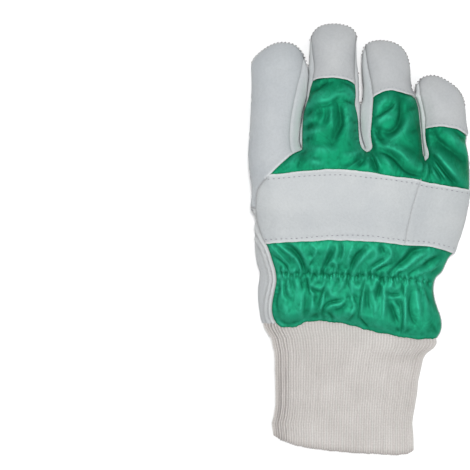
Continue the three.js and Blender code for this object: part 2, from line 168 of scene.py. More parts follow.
# ---------------------------------------------------------------- the outline, traced
LEFT_SIDE = [(261.3, 322.6), (259.8, 317), (259.0, 311), (258.0, 304), (257.5, 296), (257.5, 288), (258.8, 279), (258.9, 271),
             (256.2, 262), (254.8, 252), (254.3, 242), (254.4, 232), (254.6, 223), (254.3, 216.5), (252.4, 211.8),
             (249.7, 207.8), (250.3, 202), (251.0, 195), (250.9, 186), (249.9, 178), (248.6, 168), (247.8, 159),
             (247.8, 150), (248.6, 139), (249.4, 126), (250.1, 112), (250.8, 98), (251.0, 84), (250.8, 71),
             (250.9, 64.5), (252.1, 61), (254.6, 57.0), (259.8, 52.0), (264.6, 48.4), (269.4, 45.5), (275.5, 43.0), (282.5, 42.2),
             (289.5, 43.0), (295, 45.4), (299.2, 49.6), (302.5, 54.2), (304.5, 59.2), (305.7, 64.0)]
MIDDLE_SIDE = [(308.6, 64.0), (308.8, 57), (309.2, 50), (309.3, 43), (310.3, 38.4), (311.9, 34.8), (314.2, 31.0), (317.4, 27.8),
               (322.1, 25.3), (327.9, 24.1), (334, 23.8), (340.5, 24.2), (346.9, 25.8), (351.6, 28.4), (354.6, 32.3),
               (356.1, 36.5), (356.3, 44), (356.2, 52), (356.2, 60), (356.8, 68), (357.8, 76), (358.4, 86), (358.5, 95), (358.4, 101)]
RING_SIDE = [(361.9, 101), (362.4, 95), (362.7, 86), (361.9, 76), (361.2, 66), (361.6, 57), (362.6, 50.6), (364.1, 46.6), (367.0, 43.6),
             (371.5, 41.5), (378, 40.4), (384.5, 40.6), (391.4, 41.9), (397.8, 44.8), (402.2, 48.4), (405.4, 53.4),
             (407.6, 58.8), (409.1, 65.5), (409.6, 73), (409.8, 81), (410.7, 88), (411.4, 92)]
LITTLE_SIDE = [(415.2, 92), (415.1, 88), (415.8, 84.8), (418.1, 81.4), (421.5, 78.0), (426.4, 76.0), (431.4, 75.2), (437.6, 76.2), (444.2, 79.0),
               (450.8, 83.2), (456.4, 88.0), (460.6, 93.6), (463.2, 100), (464.6, 108), (465.4, 118), (466.0, 128),
               (466.0, 136), (465.3, 142.5), (466.4, 149), (467.8, 156), (468.7, 165), (469.0, 175), (468.9, 184),
               (468.6, 193), (467.8, 203), (466.0, 213.5), (463.6, 224), (460.6, 234.5), (457.0, 244), (453.2, 252.5),
               (448.6, 257.6), (445.4, 264), (441.6, 272), (436.0, 277.6), (433.9, 284), (433.5, 291), (434.8, 299.5), (437.6, 308.5),
               (440.6, 317), (441.7, 325), (440.4, 332.5), (437.0, 338.2)]
HEM = [(437.0, 338.2), (425.5, 339.2), (409, 338.6), (394.8, 335.9), (385.4, 334.2), (373.6, 332.0), (361.8, 328.9), (349.8, 325.4),
       (336.5, 322.9), (323.4, 321.6), (314.3, 321.4), (305.1, 322.0), (300.6, 325), (293.4, 327.1), (284.2, 327.6), (279, 326.2), (275.4, 323.6),
       (268, 323.4), (261.3, 322.6)]
# where two fingers touch, from the mouth of the gap down to the crotch
TOUCH = {
    "index_middle": [(307.4, 67.2), (308.1, 74), (306.9, 88), (305.4, 99), (302.7, 110), (300.6, 121), (299.0, 133), (298.7, 141), (300.3, 147.0)],
    "middle_ring": [(360.1, 104.6), (359.6, 112), (359.6, 121), (360.2, 131), (362.0, 140), (364.6, 148.0)],
    "ring_little": [(413.7, 95.4), (416.3, 101), (418.5, 109), (419.6, 118.8), (420.6, 129.5), (421.9, 143), (423.2, 155.6)],
}
# seams of the back, traced
SEAMS = {
    "index_back": [(304.4, 56.6), (302.9, 62), (300.6, 72), (297.2, 85), (295, 95), (293, 105), (291.2, 115), (290, 125), (289.4, 138), (290, 147), (291.9, 153.8)],
    "middle_left": [(309.7, 38.8), (311.0, 52), (312.4, 63), (312.9, 70.5), (312.4, 79), (310.8, 83.5), (309.2, 88.5), (307.6, 96.3), (305.0, 104.7), (303.0, 111.1),
                    (301.6, 121.3), (301.0, 133.3), (301.0, 142.5), (301.2, 149.0)],
    "middle_right": [(356.2, 40), (355.2, 50), (354.8, 62), (354.7, 74), (354.8, 84), (355.4, 90), (355.5, 97), (354.7, 104.2), (355.7, 108.8), (357.2, 115),
                     (358.1, 122.2), (358.6, 131.4), (359.6, 141.6), (362, 148), (366.0, 151.6)],
    "ring_left": [(363.6, 46.6), (364.5, 52), (365.5, 60), (367.8, 71.6), (370.6, 84.6), (372.2, 95.6), (371.7, 108.2), (370.8, 121), (369.8, 133), (370.7, 142.4),
                  (371.3, 147.2), (369.2, 150.2), (366.0, 151.6)],
    "little_left": [(417.8, 81.4), (418.5, 88), (419.5, 96), (421.6, 106), (423.8, 117), (424.2, 127), (424.2, 136), (425.5, 145), (427.7, 152), (427.4, 157.2), (424.6, 160.4)],
    "crotch_3": [(423.2, 155.6), (424.6, 160.4)],
    "upper_left": [(301.4, 149.0), (299, 150.4), (292, 153.9), (284.2, 160.3), (276.4, 167.4), (269.8, 174.2), (265.9, 177.9)],
    "side": [(265.9, 177.9), (260.7, 183.1), (256.4, 189.7), (254.6, 197.5), (254.2, 206.6), (254.9, 214.2), (256.3, 223.6), (258.6, 231.5), (262.5, 240), (265.2, 243.9),
             (268.8, 252.4), (272.1, 262.8), (274.5, 270.7), (275.5, 281.1), (273.7, 291.6), (271.6, 302), (271.2, 311.2), (272.6, 318), (275.4, 323.6)],
    "notch": [(249.7, 207.8), (254.6, 211.4)],
    "cap_middle": [(312.0, 81.6), (314.4, 80.2), (318.8, 78.9), (325.4, 78.1), (331.9, 77.7), (337.9, 78.1), (343.6, 79.3), (349.5, 81.4), (354.9, 84.6)],
    "cap_ring": [(372.3, 97.2), (377.1, 94.4), (384.2, 91.1), (391.3, 90.2), (398.4, 92.0), (405.5, 94.1), (411.5, 95.8), (414.8, 98.4)],
    "cap_little": [(424.9, 128.6), (432.6, 127.1), (439.7, 126.5), (450.3, 127.7), (457.4, 129.5), (462.7, 133), (466.0, 136)],
    "band_top": [(269.8, 174.2), (277.7, 174), (288.1, 172.7), (297.3, 171.6), (310.3, 170.7), (323.4, 169.4), (336.5, 169.3), (349.5, 170.2), (361.8, 171.5),
                 (373.6, 173.1), (385.4, 175.3), (397.2, 177.2), (409, 178.3), (417.3, 179.7), (423.2, 181.7), (435, 183.9), (450.3, 186.5), (468.8, 189.8)],
    "band_bottom": [(265.2, 243.9), (277.7, 242.3), (290.7, 241.8), (303.8, 241.3), (316.9, 240.8), (327.3, 239.5), (336.5, 240.1), (349.5, 240.2), (365.3, 241.4),
                    (379.5, 242.0), (393.7, 243.4), (404.3, 245.0), (416.1, 245.5), (430.2, 246.4), (442, 249.6), (453.2, 253.4)],
    "band_join": [(420.4, 179.4), (417.3, 189.5), (414.3, 200), (411.4, 209.6), (409.0, 220), (406.6, 230.8), (404.3, 245.0)],
}


def slit(centre):
    """The two walls of the gap between touching fingers, from its mouth to the crotch and back."""
    c = line(centre, 0.8)
    t = np.gradient(c, axis=0)
    t /= np.linalg.norm(t, axis=1)[:, None]
    n = np.stack([t[:, 1], -t[:, 0]], 1)  # to the left when going down, which is -x
    w = SLIT * (1 - 0.45 * smooth(0.8, 1.0, np.linspace(0, 1, len(c))))
    return c + n * w[:, None], (c - n * w[:, None])[::-1], c


def build_outline():
    walls = {k: slit(v) for k, v in TOUCH.items()}
    def side(points, before=None, after=None):
        p = photo(points)
        if before is not None:
            p = np.concatenate([before[None], p])
        if after is not None:
            p = np.concatenate([p, after[None]])
        return through(p, 0.8)
    a, b, c = walls["index_middle"], walls["middle_ring"], walls["ring_little"]
    # which wall is nearer to the finger on the left is settled by x
    order = lambda w: (w[0], w[1]) if w[0][len(w[0]) // 2, 0] < w[1][len(w[1]) // 2, 0] else (w[1][::-1], w[0][::-1])
    a, b, c = order(a), order(b), order(c)
    parts = [side(LEFT_SIDE, after=a[0][0]), a[0], a[1], side(MIDDLE_SIDE, before=a[1][-1], after=b[0][0]), b[0], b[1],
             side(RING_SIDE, before=b[1][-1], after=c[0][0]), c[0], c[1], side(LITTLE_SIDE, before=c[1][-1])]
    out = [parts[0]]
    for p in parts[1:]:
        out.append(p[1:] if np.linalg.norm(p[0] - out[-1][-1]) < 0.02 else p)
    lateral = np.concatenate(out)
    hem = line(HEM, 0.8)
    hem[0], hem[-1] = lateral[-1], lateral[0]
    return lateral, hem


LATERAL, HEM_LINE = build_outline()
OUTLINE = np.concatenate([LATERAL, HEM_LINE[1:-1]])
near_side = Near([np.concatenate([LATERAL[:1] + [[1.0, -45.0]], LATERAL, LATERAL[-1:] + [[-1.0, -45.0]]])])
near_hem = Near([HEM_LINE])

# ---------------------------------------------------------------- levels: top and underside of the glove
FINGER_LEVELS = {  # y, bottom, top
    "index": [(40, 14.8, 37.2), (62, 11.5, 34.4), (86.8, 6.5, 29.8), (107.9, 1.4, 24.6), (122.5, 0.0, 21.4)],
    "middle": [(40, 15.4, 38.2), (62, 12.5, 35.6), (86.8, 8, 31.4), (111.6, 2.5, 25.8), (126.5, 0.3, 22.4), (134.3, 0, 21)],
    "ring": [(38, 12.8, 35.2), (62, 10.8, 33.2), (86.8, 6.5, 29.2), (101.7, 3.2, 25.8), (115, 0.3, 22.4), (123.3, 0, 20.6)],
    "little": [(34, 6.4, 29.4), (60.8, 4.5, 27.2), (80.6, 1.5, 23.8), (93, 0.3, 21), (101.7, 0, 19)],
}
HAND_LEVELS = [  # y, then the underside and the top at the index side, over the thumb and at the little-finger side
    (-66.0, 0.3, 0.3, 0.3, 21.4, 22.0, 20.2),
    (-52.0, 0.3, 0.3, 0.3, 22.4, 23.2, 20.8),
    (-42.0, 0.3, 0.3, 0.3, 24.2, 24.8, 21.2),
    (-32.0, 0.3, 0.4, 0.3, 25.6, 26.0, 21.6),
    (-22.5, 0.3, 1.0, 0.3, 27.6, 28.0, 22.4),
    (-14.0, 0.6, 3.0, 0.4, 30.4, 31.0, 24.0),
    (-4.5, 3.5, 7.0, 0.8, 33.4, 34.2, 25.8),
    (7.0, 10.0, 12.5, 1.5, 36.2, 37.0, 27.4),
    (17.0, 15.8, 15.9, 2.3, 38.0, 38.4, 28.6),
    (27.0, 16.3, 16.4, 3.0, 38.6, 39.0, 29.6),
    (37.0, 16.2, 16.6, 3.6, 38.4, 39.2, 30.0),
    (46.0, 15.2, 16.2, 4.4, 37.6, 38.8, 30.0),
    (60.0, 14.0, 15.6, 5.2, 36.4, 38.0, 29.6),
]


def level_fields():
    """Underside and top on a coarse grid, smoothed, to be read anywhere."""
    xs, ys = np.arange(-80, 81, 1.5), np.arange(-80, 146, 1.5)
    gx, gy = np.meshgrid(xs, ys, indexing="ij")
    t = np.array(HAND_LEVELS)
    left = -64.0 - 2.5 * smooth(0, 40, gy)
    right = 50.0 + 18.0 * smooth(-30, 20, gy)
    u = np.clip((gx - left) / (right - left), 0, 1)
    tilt = gy + (u - 0.3) * 6.0 * smooth(20, -50, gy) - u * 4 * smooth(-10, 40, gy)  # rows of the hand fall a little to the right
    col = lambda k: np.interp(tilt, t[:, 0], t[:, k])
    across = lambda a, b, c: np.where(u < 0.6, mix(a, b, smooth(0.08, 0.6, u)), mix(b, c, smooth(0.6, 0.95, u)))
    bottom, top = across(col(1), col(2), col(3)), across(col(4), col(5), col(6))
    soft = 5.0 * (1 - smooth(44, 60, gy)) + 0.8
    edges = [photo(TOUCH[k]) for k in ("index_middle", "middle_ring", "ring_little")]
    cut = [np.interp(gy, e[::-1, 1], e[::-1, 0]) for e in edges]
    s = [1 / (1 + np.exp(-(gx - c) / soft)) for c in cut]
    weight = [1 - s[0], s[0] * (1 - s[1]), s[1] * (1 - s[2]), s[2]]
    fb = ft = 0.0
    for w, name in zip(weight, ("index", "middle", "ring", "little")):
        f = np.array(FINGER_LEVELS[name])
        fb = fb + w * np.interp(gy, f[:, 0], f[:, 1])
        ft = ft + w * np.interp(gy, f[:, 0], f[:, 2])
    k = smooth(34, 62, gy)
    bottom, top = mix(bottom, fb, k), mix(top, ft, k)
    for _ in range(10):
        for f in (bottom, top):
            g = np.pad(f, 1, mode="edge")
            f[:] = (g[:-2, 1:-1] + g[2:, 1:-1] + g[1:-1, :-2] + g[1:-1, 2:] + 2 * f) / 6
    return xs, ys, bottom, top


_XS, _YS, _BOTTOM, _TOP = level_fields()


def read(field, pts):
    u, v = (pts[:, 0] - _XS[0]) / 1.5, (pts[:, 1] - _YS[0]) / 1.5
    i, j = np.clip(u.astype(int), 0, len(_XS) - 2), np.clip(v.astype(int), 0, len(_YS) - 2)
    fu, fv = np.clip(u - i, 0, 1), np.clip(v - j, 0, 1)
    return mix(mix(field[i, j], field[i + 1, j], fu), mix(field[i, j + 1], field[i + 1, j + 1], fu), fv)


def section(pts, d):
    """Underside and top heights at points a distance d from the side."""
    bottom, top = read(_BOTTOM, pts), read(_TOP, pts)
    y = pts[:, 1]
    radius = 14.2 + 2.6 * smooth(55, 20, y) - 0.8 * smooth(95, 120, y)
    dh = near_hem(pts)
    top = mix(np.minimum(top, HEM_TOP), top, smooth(-0.5, 9.0, dh) ** 0.8)
    middle, half = (top + bottom) / 2, (top - bottom) / 2
    t = np.clip(d / radius, 0, 1)
    f = (1 - (1 - t) ** 2.15) ** (1 / 2.05)
    return middle - half * f, middle + half * f


# ---------------------------------------------------------------- plan meshes
def hexes(spacing):
    lo, hi = OUTLINE.min(0), OUTLINE.max(0)
    rows = []
    y, k = lo[1], 0
    while y < hi[1]:
        x = np.arange(lo[0] + (k % 2) * spacing / 2, hi[0], spacing)
        rows.append(np.stack([x, np.full_like(x, y)], 1))
        y += spacing * 0.866
        k += 1
    return np.concatenate(rows)


def side_rows():
    """Rows of points close inside the outline."""
    p = LATERAL
    t = np.gradient(p, axis=0)
    t /= np.linalg.norm(t, axis=1)[:, None] + 1e-9
    n = np.stack([t[:, 1], -t[:, 0]], 1)
    rows = []
    for d in EDGE_ROWS:
        for sign in (1, -1):
            q = p + sign * n * d
            q = q[inside(q, OUTLINE)]
            rows.append(q[near_side(q) > 0.93 * d])
    return np.concatenate(rows)


def plan_mesh(lines, spacing, fine=None):
    grid = hexes(spacing)
    if fine is not None:
        small, regions = fine
        more = hexes(small)
        within = lambda g: np.logical_or.reduce([inside(g, r) for r in regions])
        grid = np.concatenate([grid[~within(grid)], more[within(more)]])
    grid = grid[inside(grid, OUTLINE)]
    grid = grid[near_side(grid) > EDGE_ROWS[-1] + 0.45 * spacing]
    grid = grid[near_hem(grid) > 0.45 * spacing]
    rows = side_rows()
    rows = rows[near_hem(rows) > 0.2]
    if lines:
        near = Near(lines)
        grid = grid[near(grid) > 0.42 * spacing]
        rows = rows[near(rows) > 0.22]
    n0 = len(OUTLINE)
    verts = [OUTLINE]
    edges = [(i, (i + 1) % n0) for i in range(n0)]
    at = n0
    for l in lines:
        verts.append(l)
        edges += [(at + i, at + i + 1) for i in range(len(l) - 1)]
        at += len(l)
    verts += [rows, grid]
    every = np.concatenate(verts)
    v, _, f, orig, _, _ = delaunay_2d_cdt([Vector(p) for p in every], edges, [], 0, 1e-4)
    pts = np.array([(p.x, p.y) for p in v])
    tri = np.array([t for t in f if len(t) == 3], int)
    keep = inside(pts[tri].mean(1), OUTLINE)
    tri = tri[keep]
    a, b, c = pts[tri[:, 0]], pts[tri[:, 1]], pts[tri[:, 2]]
    area = (b[:, 0] - a[:, 0]) * (c[:, 1] - a[:, 1]) - (b[:, 1] - a[:, 1]) * (c[:, 0] - a[:, 0])
    tri = np.where((area < 0)[:, None], tri[:, ::-1], tri)
    tri = tri[np.abs(area) > 1e-6]
    where = {}
    for i, o in enumerate(orig):
        for k in o:
            where[k] = i
    outline_index = np.array([where[i] for i in range(n0)])
    return pts, tri, outline_index


def snap_all():
    s = {k: line(v) for k, v in SEAMS.items()}
    lat = [LATERAL]
    for k in ("index_back", "middle_left", "middle_right", "ring_left", "little_left", "notch"):
        s[k] = snapped(s[k], lat, 0)
    s["crotch_3"] = snapped(s["crotch_3"], lat, 0)
    for k in ("cap_ring", "cap_little", "band_top", "band_bottom"):
        s[k] = snapped(s[k], lat, -1)
    s["side"] = snapped(s["side"], [HEM_LINE], -1)
    s["upper_left"][0] = s["middle_left"][-1]
    s["upper_left"][-1] = s["side"][0]
    s["index_back"] = snapped(s["index_back"], [s["upper_left"]], -1)
    s["ring_left"][-1] = s["middle_right"][-1]
    s["crotch_3"][-1] = s["little_left"][-1]
    s["notch"] = snapped(s["notch"], [s["side"]], -1)
    s["cap_middle"] = snapped(snapped(s["cap_middle"], [s["middle_left"]], 0), [s["middle_right"]], -1)
    s["cap_ring"] = snapped(s["cap_ring"], [s["ring_left"]], 0)
    s["cap_little"] = snapped(s["cap_little"], [s["little_left"]], 0)
    s["band_top"] = snapped(s["band_top"], [s["upper_left"]], 0)
    s["band_bottom"] = snapped(s["band_bottom"], [s["side"]], 0)
    s["band_join"] = snapped(snapped(s["band_join"], [s["band_top"]], 0), [s["band_bottom"]], -1)
    return s


S = snap_all()


def until(poly, point):
    return poly[: np.argmin(np.linalg.norm(poly - point, axis=1)) + 1]


def since(poly, point):
    return poly[np.argmin(np.linalg.norm(poly - point, axis=1)):]


def crotch_wall(key):
    """The touching line of two fingers, from crotch to mouth."""
    return line(TOUCH[key], 0.8)[::-1]


def loop(*parts):
    return np.concatenate([photo(p) if isinstance(p, list) else p for p in parts])


def back_regions(c):
    """The name of the piece under each point of the back."""
    name = np.full(len(c), "back_upper", object)
    free = np.ones(len(c), bool)
    table = [
        ("fourchette_index_middle", loop([(304.4, 30)], S["index_back"], until(S["upper_left"], S["index_back"][-1])[::-1], S["middle_left"][::-1], [(309.7, 30)])),
        ("fourchette_middle_ring", loop([(358.5, 10)], S["middle_right"], S["ring_left"][::-1], [(361, 10)])),
        ("fourchette_ring_little", loop([(415.5, 60)], [(413.6, 90)], crotch_wall("ring_little")[::-1], S["crotch_3"], S["little_left"][::-1], [(417.6, 60)])),
        ("tip_middle", loop(until(S["middle_left"], S["cap_middle"][0]), S["cap_middle"], until(S["middle_right"], S["cap_middle"][-1])[::-1], [(357.5, 10), (309, 10)])),
        ("tip_ring", loop(until(S["ring_left"], S["cap_ring"][0]), S["cap_ring"], [(414.6, 96), (413.7, 93.4), (413.6, 88), (414, 20), (362, 20)])),
        ("tip_little", loop(until(S["little_left"], S["cap_little"][0]), S["cap_little"], [(490, 137), (490, 50), (417.6, 50)])),
        ("palm", loop([(230, 30), (304.4, 30)], S["index_back"], since(S["upper_left"], S["index_back"][-1]), until(S["side"], S["notch"][-1]), S["notch"][::-1], [(230, 207.8)])),
        ("thumb", loop([(230, 207.8)], S["notch"], since(S["side"], S["notch"][-1]), [(275.4, 360), (230, 360)])),
        ("knuckle_band_side", loop(S["band_join"], since(S["band_bottom"], S["band_join"][-1]), [(490, 253.4), (490, 189.2)], since(S["band_top"], S["band_join"][0])[::-1])),
        ("knuckle_band", loop(until(S["side"], S["band_bottom"][0]), until(S["band_bottom"], S["band_join"][-1]), S["band_join"][::-1], until(S["band_top"], S["band_join"][0])[::-1],
                              since(S["upper_left"], S["band_top"][0]))),
        ("back_lower", loop(since(S["side"], S["band_bottom"][0]), [(275.4, 360), (490, 360), (490, 253.4)], S["band_bottom"][::-1])),
    ]
    for piece, poly in table:
        hit = free & inside(c, poly)
        name[hit] = piece
        free &= ~hit
    return name


# seams of the palm side, in mm
PALM_SEAMS = {
    "front_cut": [(-36.6, 54.2), (-33, 51.4), (-26, 50.2), (-14, 50.0), (0, 49.8), (14, 49.6), (27, 48.8), (34, 47.6), (38.6, 48.6), (39.9, 50.0)],
    "thumb_crease": [(-64.8, 18.0), (-52, 17.0), (-38, 9.0), (-27, -4.0), (-22, -20.0), (-26, -36.0), (-30.5, -46.0), (-31.0, -54.5)],
}
STRIP_UNDER = 2.6  # width of a fourchette on the palm side


# ---------------------------------------------------------------- build the whole skin
BACK_LINES = [v for v in S.values()]
UPPER_AREA = photo([(262, 176), (300, 149), (304, 104), (309, 86), (325, 72), (352, 76), (357, 100), (361, 147), (370, 148), (371, 95), (390, 84), (416, 92), (422, 159), (427, 158), (424, 122),
                    (445, 120), (470, 130), (474, 196), (417, 186), (340, 175)])
LOWER_AREA = photo([(263, 236), (345, 234), (410, 238), (460, 247), (452, 262), (440, 280), (446, 342), (400, 340), (350, 330), (275, 332), (268, 318), (272, 280)])
top_xy, top_tri, top_out = plan_mesh(BACK_LINES, GRID_TOP, (GRID_CLOTH, [UPPER_AREA, LOWER_AREA]))


def under_mesh():
    cut = through(np.array(PALM_SEAMS["front_cut"]), 0.9)
    crease = through(np.array(PALM_SEAMS["thumb_crease"]), 0.9)
    crease = snapped(snapped(crease, [LATERAL], 0), [HEM_LINE], -1)
    strips = []
    for key in ("index_middle", "middle_ring", "ring_little"):
        c = line(TOUCH[key], 0.8)
        foot = c[-1] + [0.0, -2.6]
        for sign in (-1, 1):
            wall = c[:-2] + [[sign * STRIP_UNDER, 0.0]]
            tip = {("index_middle", -1): (303.2, 54.2), ("index_middle", 1): (310.8, 34.8), ("middle_ring", -1): (355.0, 32.3), ("middle_ring", 1): (363.6, 46.6),
                   ("ring_little", -1): (405.4, 53.4), ("ring_little", 1): (417.8, 81.4)}[(key, sign)]
            up = LATERAL[np.argmin(np.linalg.norm(LATERAL - photo([tip])[0], axis=1))]
            mid = mix(wall[0], up, 0.5)
            inward = {-1: -1.4, 1: 1.4}[sign]
            strips.append(through(np.array([up, mid + [inward, 0], wall[0], *wall[4::6], foot]), 0.9))
    lines = strips + [crease]
    # the front seam joins the feet of the outer strips
    cut[0], cut[-1] = strips[0][-1], strips[5][-1]
    lines.append(cut)
    pts, tri, out = plan_mesh(lines, GRID_UNDER)
    c = pts[tri].mean(1)
    name = np.full(len(c), "palm", object)
    for i, key in enumerate(("fourchette_index_middle", "fourchette_middle_ring", "fourchette_ring_little")):
        a, b = strips[2 * i], strips[2 * i + 1]
        far = [[(a[0][0] + b[0][0]) / 2, 150.0]]
        name[inside(c, np.concatenate([a, b[::-1], far]))] = key
    hit = inside(c, np.concatenate([cut, strips[4][::-1], [[33, 150], [-31, 150]], strips[1]])) & (name == "palm")
    name[hit] = "middle_ring_front"
    name[inside(c, np.concatenate([crease, [[-31, -90], [-90, -90], [-90, 18]]])) & (name == "palm")] = "thumb"
    return pts, tri, out, name, {"front_cut": cut, "thumb_crease": crease, "strips": strips}


under_xy, under_tri, under_out, under_name, UNDER_LINES = under_mesh()
top_name = back_regions(top_xy[top_tri].mean(1))

n_top, n_under = len(top_xy), len(under_xy)
side_count = len(LATERAL)
shared = {under_out[i]: top_out[i] for i in range(side_count)}
d_top, d_under = near_side(top_xy), near_side(under_xy)
d_top[top_out[:side_count]] = 0
d_under[under_out[:side_count]] = 0
z_top = section(top_xy, d_top)[1]
z_under = section(under_xy, d_under)[0]

# the thumb lies under the palm: over its tube the palm's own skin is inside it or above it
THUMB_ROWS = [  # x1, y1, x2, y2, bottom, top: each section of the folded thumb
    (-59.6, -51.6, -31.5, -53.4, 0.1, 14.0),
    (-61.2, -38.4, -29.5, -42.8, 0.0, 14.6),
    (-61.6, -22.3, -24.0, -29.8, 0.0, 14.8),
    (-62.4, -7.4, -12.4, -13.4, 0.0, 14.9),
    (-61.4, 4.3, -3.1, -1.4, 0.0, 14.9),
    (-54.2, 16.4, 4.7, 8.7, 0.0, 14.9),
    (-39.1, 28.0, 11.2, 18.6, 0.0, 14.8),
    (-24.8, 36.6, 14.4, 29.6, 0.0, 14.4),
    (-14.0, 43.4, 13.4, 39.0, 0.3, 13.4),
    (-7.6, 47.4, 9.8, 45.0, 1.9, 11.8),
    (-2.0, 48.9, 4.8, 48.0, 4.6, 8.8),
]
thumb_plan = np.array([(r[0] + 4, r[1]) for r in THUMB_ROWS[:6]] + [(r[2] - 4, r[3]) for r in THUMB_ROWS[:6]][::-1])
near_thumb = Near([np.concatenate([thumb_plan, thumb_plan[:1]])])
hidden = np.where(inside(under_xy, thumb_plan), near_thumb(under_xy), 0.0)
z_under = z_under + np.minimum(3.4 * smooth(0, 4, hidden), np.maximum(0, 6.0 - z_under)) * (under_xy[:, 1] < 12)

P = np.concatenate([np.column_stack([top_xy, z_top]), np.column_stack([under_xy, z_under])])
index_under = np.arange(n_under) + n_top
for u, t in shared.items():
    index_under[u] = t
UNDER = index_under[under_tri][:, ::-1]
UNDER_OK = (UNDER[:, 0] != UNDER[:, 1]) & (UNDER[:, 1] != UNDER[:, 2]) & (UNDER[:, 0] != UNDER[:, 2])
UNDER, under_name = UNDER[UNDER_OK], under_name[UNDER_OK]
FACES = np.concatenate([top_tri, UNDER])
NAMES = np.concatenate([top_name, under_name])
IS_TOP = np.arange(len(FACES)) < len(top_tri)


def normals(points, faces, count=None):
    n = np.zeros((count or len(points), 3))
    a, b, c = points[faces[:, 0]], points[faces[:, 1]], points[faces[:, 2]]
    fn = np.cross(b - a, c - a)
    for k in range(3):
        for j in range(3):
            n[:, j] += np.bincount(faces[:, k], fn[:, j], minlength=len(n))
    return n / np.maximum(np.linalg.norm(n, axis=1), 1e-12)[:, None]


N = normals(P, FACES)
for _ in range(2):  # a little smoother, so that grooves don't fold the mesh
    acc = N.copy()
    for i, j in ((0, 1), (1, 2), (2, 0)):
        for a, b in ((i, j), (j, i)):
            for k in range(3):
                acc[:, k] += 0.15 * np.bincount(FACES[:, a], N[FACES[:, b], k], minlength=len(N))
    N = acc / np.maximum(np.linalg.norm(acc, axis=1), 1e-12)[:, None]

XY = P[:, :2]
TOPV = np.zeros(len(P), bool)
TOPV[:n_top] = True
D_SIDE = np.concatenate([d_top, d_under])
D_HEM = near_hem(XY)
DIST, ALONG = {}, {}
for k, v in S.items():
    d, s = Near([v])(XY[:n_top], along=True)
    DIST[k] = np.concatenate([d, np.full(len(XY) - n_top, 40.0)])
    ALONG[k] = np.concatenate([s, np.zeros(len(XY) - n_top)])
_, SIDE_ALONG = near_side(XY, along=True)
for k, v in (("front_cut", UNDER_LINES["front_cut"]), ("thumb_crease", UNDER_LINES["thumb_crease"])):
    DIST[k] = np.where(TOPV, 40.0, Near([v])(XY))
DIST["under_strips"] = np.where(TOPV, 40.0, Near(UNDER_LINES["strips"])(XY))


def groove(d, depth, width):
    return -depth * np.exp(-((d / width) ** 2))


# ---------------------------------------------------------------- making meshes
def from_view(v):
    """Lines were traced in the picture: what stands higher than the picture's level is moved in by its perspective."""
    reach = VIEW_WIDTH * LENS / 36.0
    c = photo([VIEW_CENTRE])[0]
    v = np.array(v, np.float64)
    k = (reach + VIEW_LEVEL - np.maximum(v[:, 2], VIEW_LEVEL)) / reach
    v[:, :2] = c + (v[:, :2] - c) * k[:, None]
    return v


def make(name, verts, faces, material, sharp=42, attrs=None):
    me = bpy.data.meshes.new(name)
    verts = from_view(verts) * MM
    me.from_pydata(verts.tolist(), [], [list(map(int, f)) for f in faces])
    me.materials.append(material)
    me.validate()
    for key, values in (attrs or {}).items():
        a = me.attributes.new(key, "FLOAT", "POINT")
        a.data.foreach_set("value", np.asarray(values, np.float32))
    me.shade_smooth()
    me.set_sharp_from_angle(angle=math.radians(sharp))
    me.update()
    ob = bpy.data.objects.new(name, me)
    bpy.context.scene.collection.objects.link(ob)
    return ob


def shell(outer, nrm, faces, wall):
    """Outer skin, inner skin and the rims between them, as one closed mesh."""
    used, inv = np.unique(faces, return_inverse=True)
    f = inv.reshape(faces.shape)
    o, n = outer[used], nrm[used]
    m = len(used)
    w = wall[used] if isinstance(wall, np.ndarray) else wall
    i = o - n * (w[:, None] if isinstance(w, np.ndarray) else w)
    seen = {}
    for a, b in np.concatenate([f[:, [0, 1]], f[:, [1, 2]], f[:, [2, 0]]]):
        seen[(a, b)] = seen.get((a, b), 0) + 1
    rim = [(a, b) for (a, b) in seen if (b, a) not in seen]
    quads = [(b, a, a + m, b + m) for a, b in rim]
    out = [tuple(t) for t in f] + [tuple(t[::-1] + m) for t in f] + quads
    return np.concatenate([o, i]), out, used, m


def faces_of(name):
    return FACES[NAMES == name]


# ---------------------------------------------------------------- materials
def nodes_for(name, rough, spec=0.5):
    m = bpy.data.materials.new(name)
    m.use_nodes = True
    nt = m.node_tree
    bsdf = nt.nodes["Principled BSDF"]
    bsdf.inputs["Roughness"].default_value = rough
    bsdf.inputs["Specular IOR Level"].default_value = spec
    return m, nt, bsdf


def node(nt, kind, **inputs):
    n = nt.nodes.new(kind)
    for k, v in inputs.items():
        if k.startswith("_"):
            setattr(n, k[1:], v)
        else:
            n.inputs[k.replace("__", " ")].default_value = v
    return n


def ramp(nt, source, stops):
    r = nt.nodes.new("ShaderNodeValToRGB")
    e = r.color_ramp.elements
    while len(e) < len(stops):
        e.new(0.5)
    for el, (pos, col) in zip(e, stops):
        el.position = pos
        el.color = (*col, 1) if len(col) == 3 else col
    nt.links.new(source, r.inputs["Fac"])
    return r.outputs["Color"]


def mul(nt, a, b, fac=1.0):
    m = nt.nodes.new("ShaderNodeMix")
    m.data_type, m.blend_type = "RGBA", "MULTIPLY"
    m.inputs["Factor"].default_value = fac
    nt.links.new(a, m.inputs["A"])
    nt.links.new(b, m.inputs["B"])
    return m.outputs["Result"]


def maths(nt, op, a, b):
    m = nt.nodes.new("ShaderNodeMath")
    m.operation = op
    for k, v in enumerate((a, b)):
        if isinstance(v, (int, float)):
            m.inputs[k].default_value = v
        else:
            nt.links.new(v, m.inputs[k])
    return m.outputs[0]


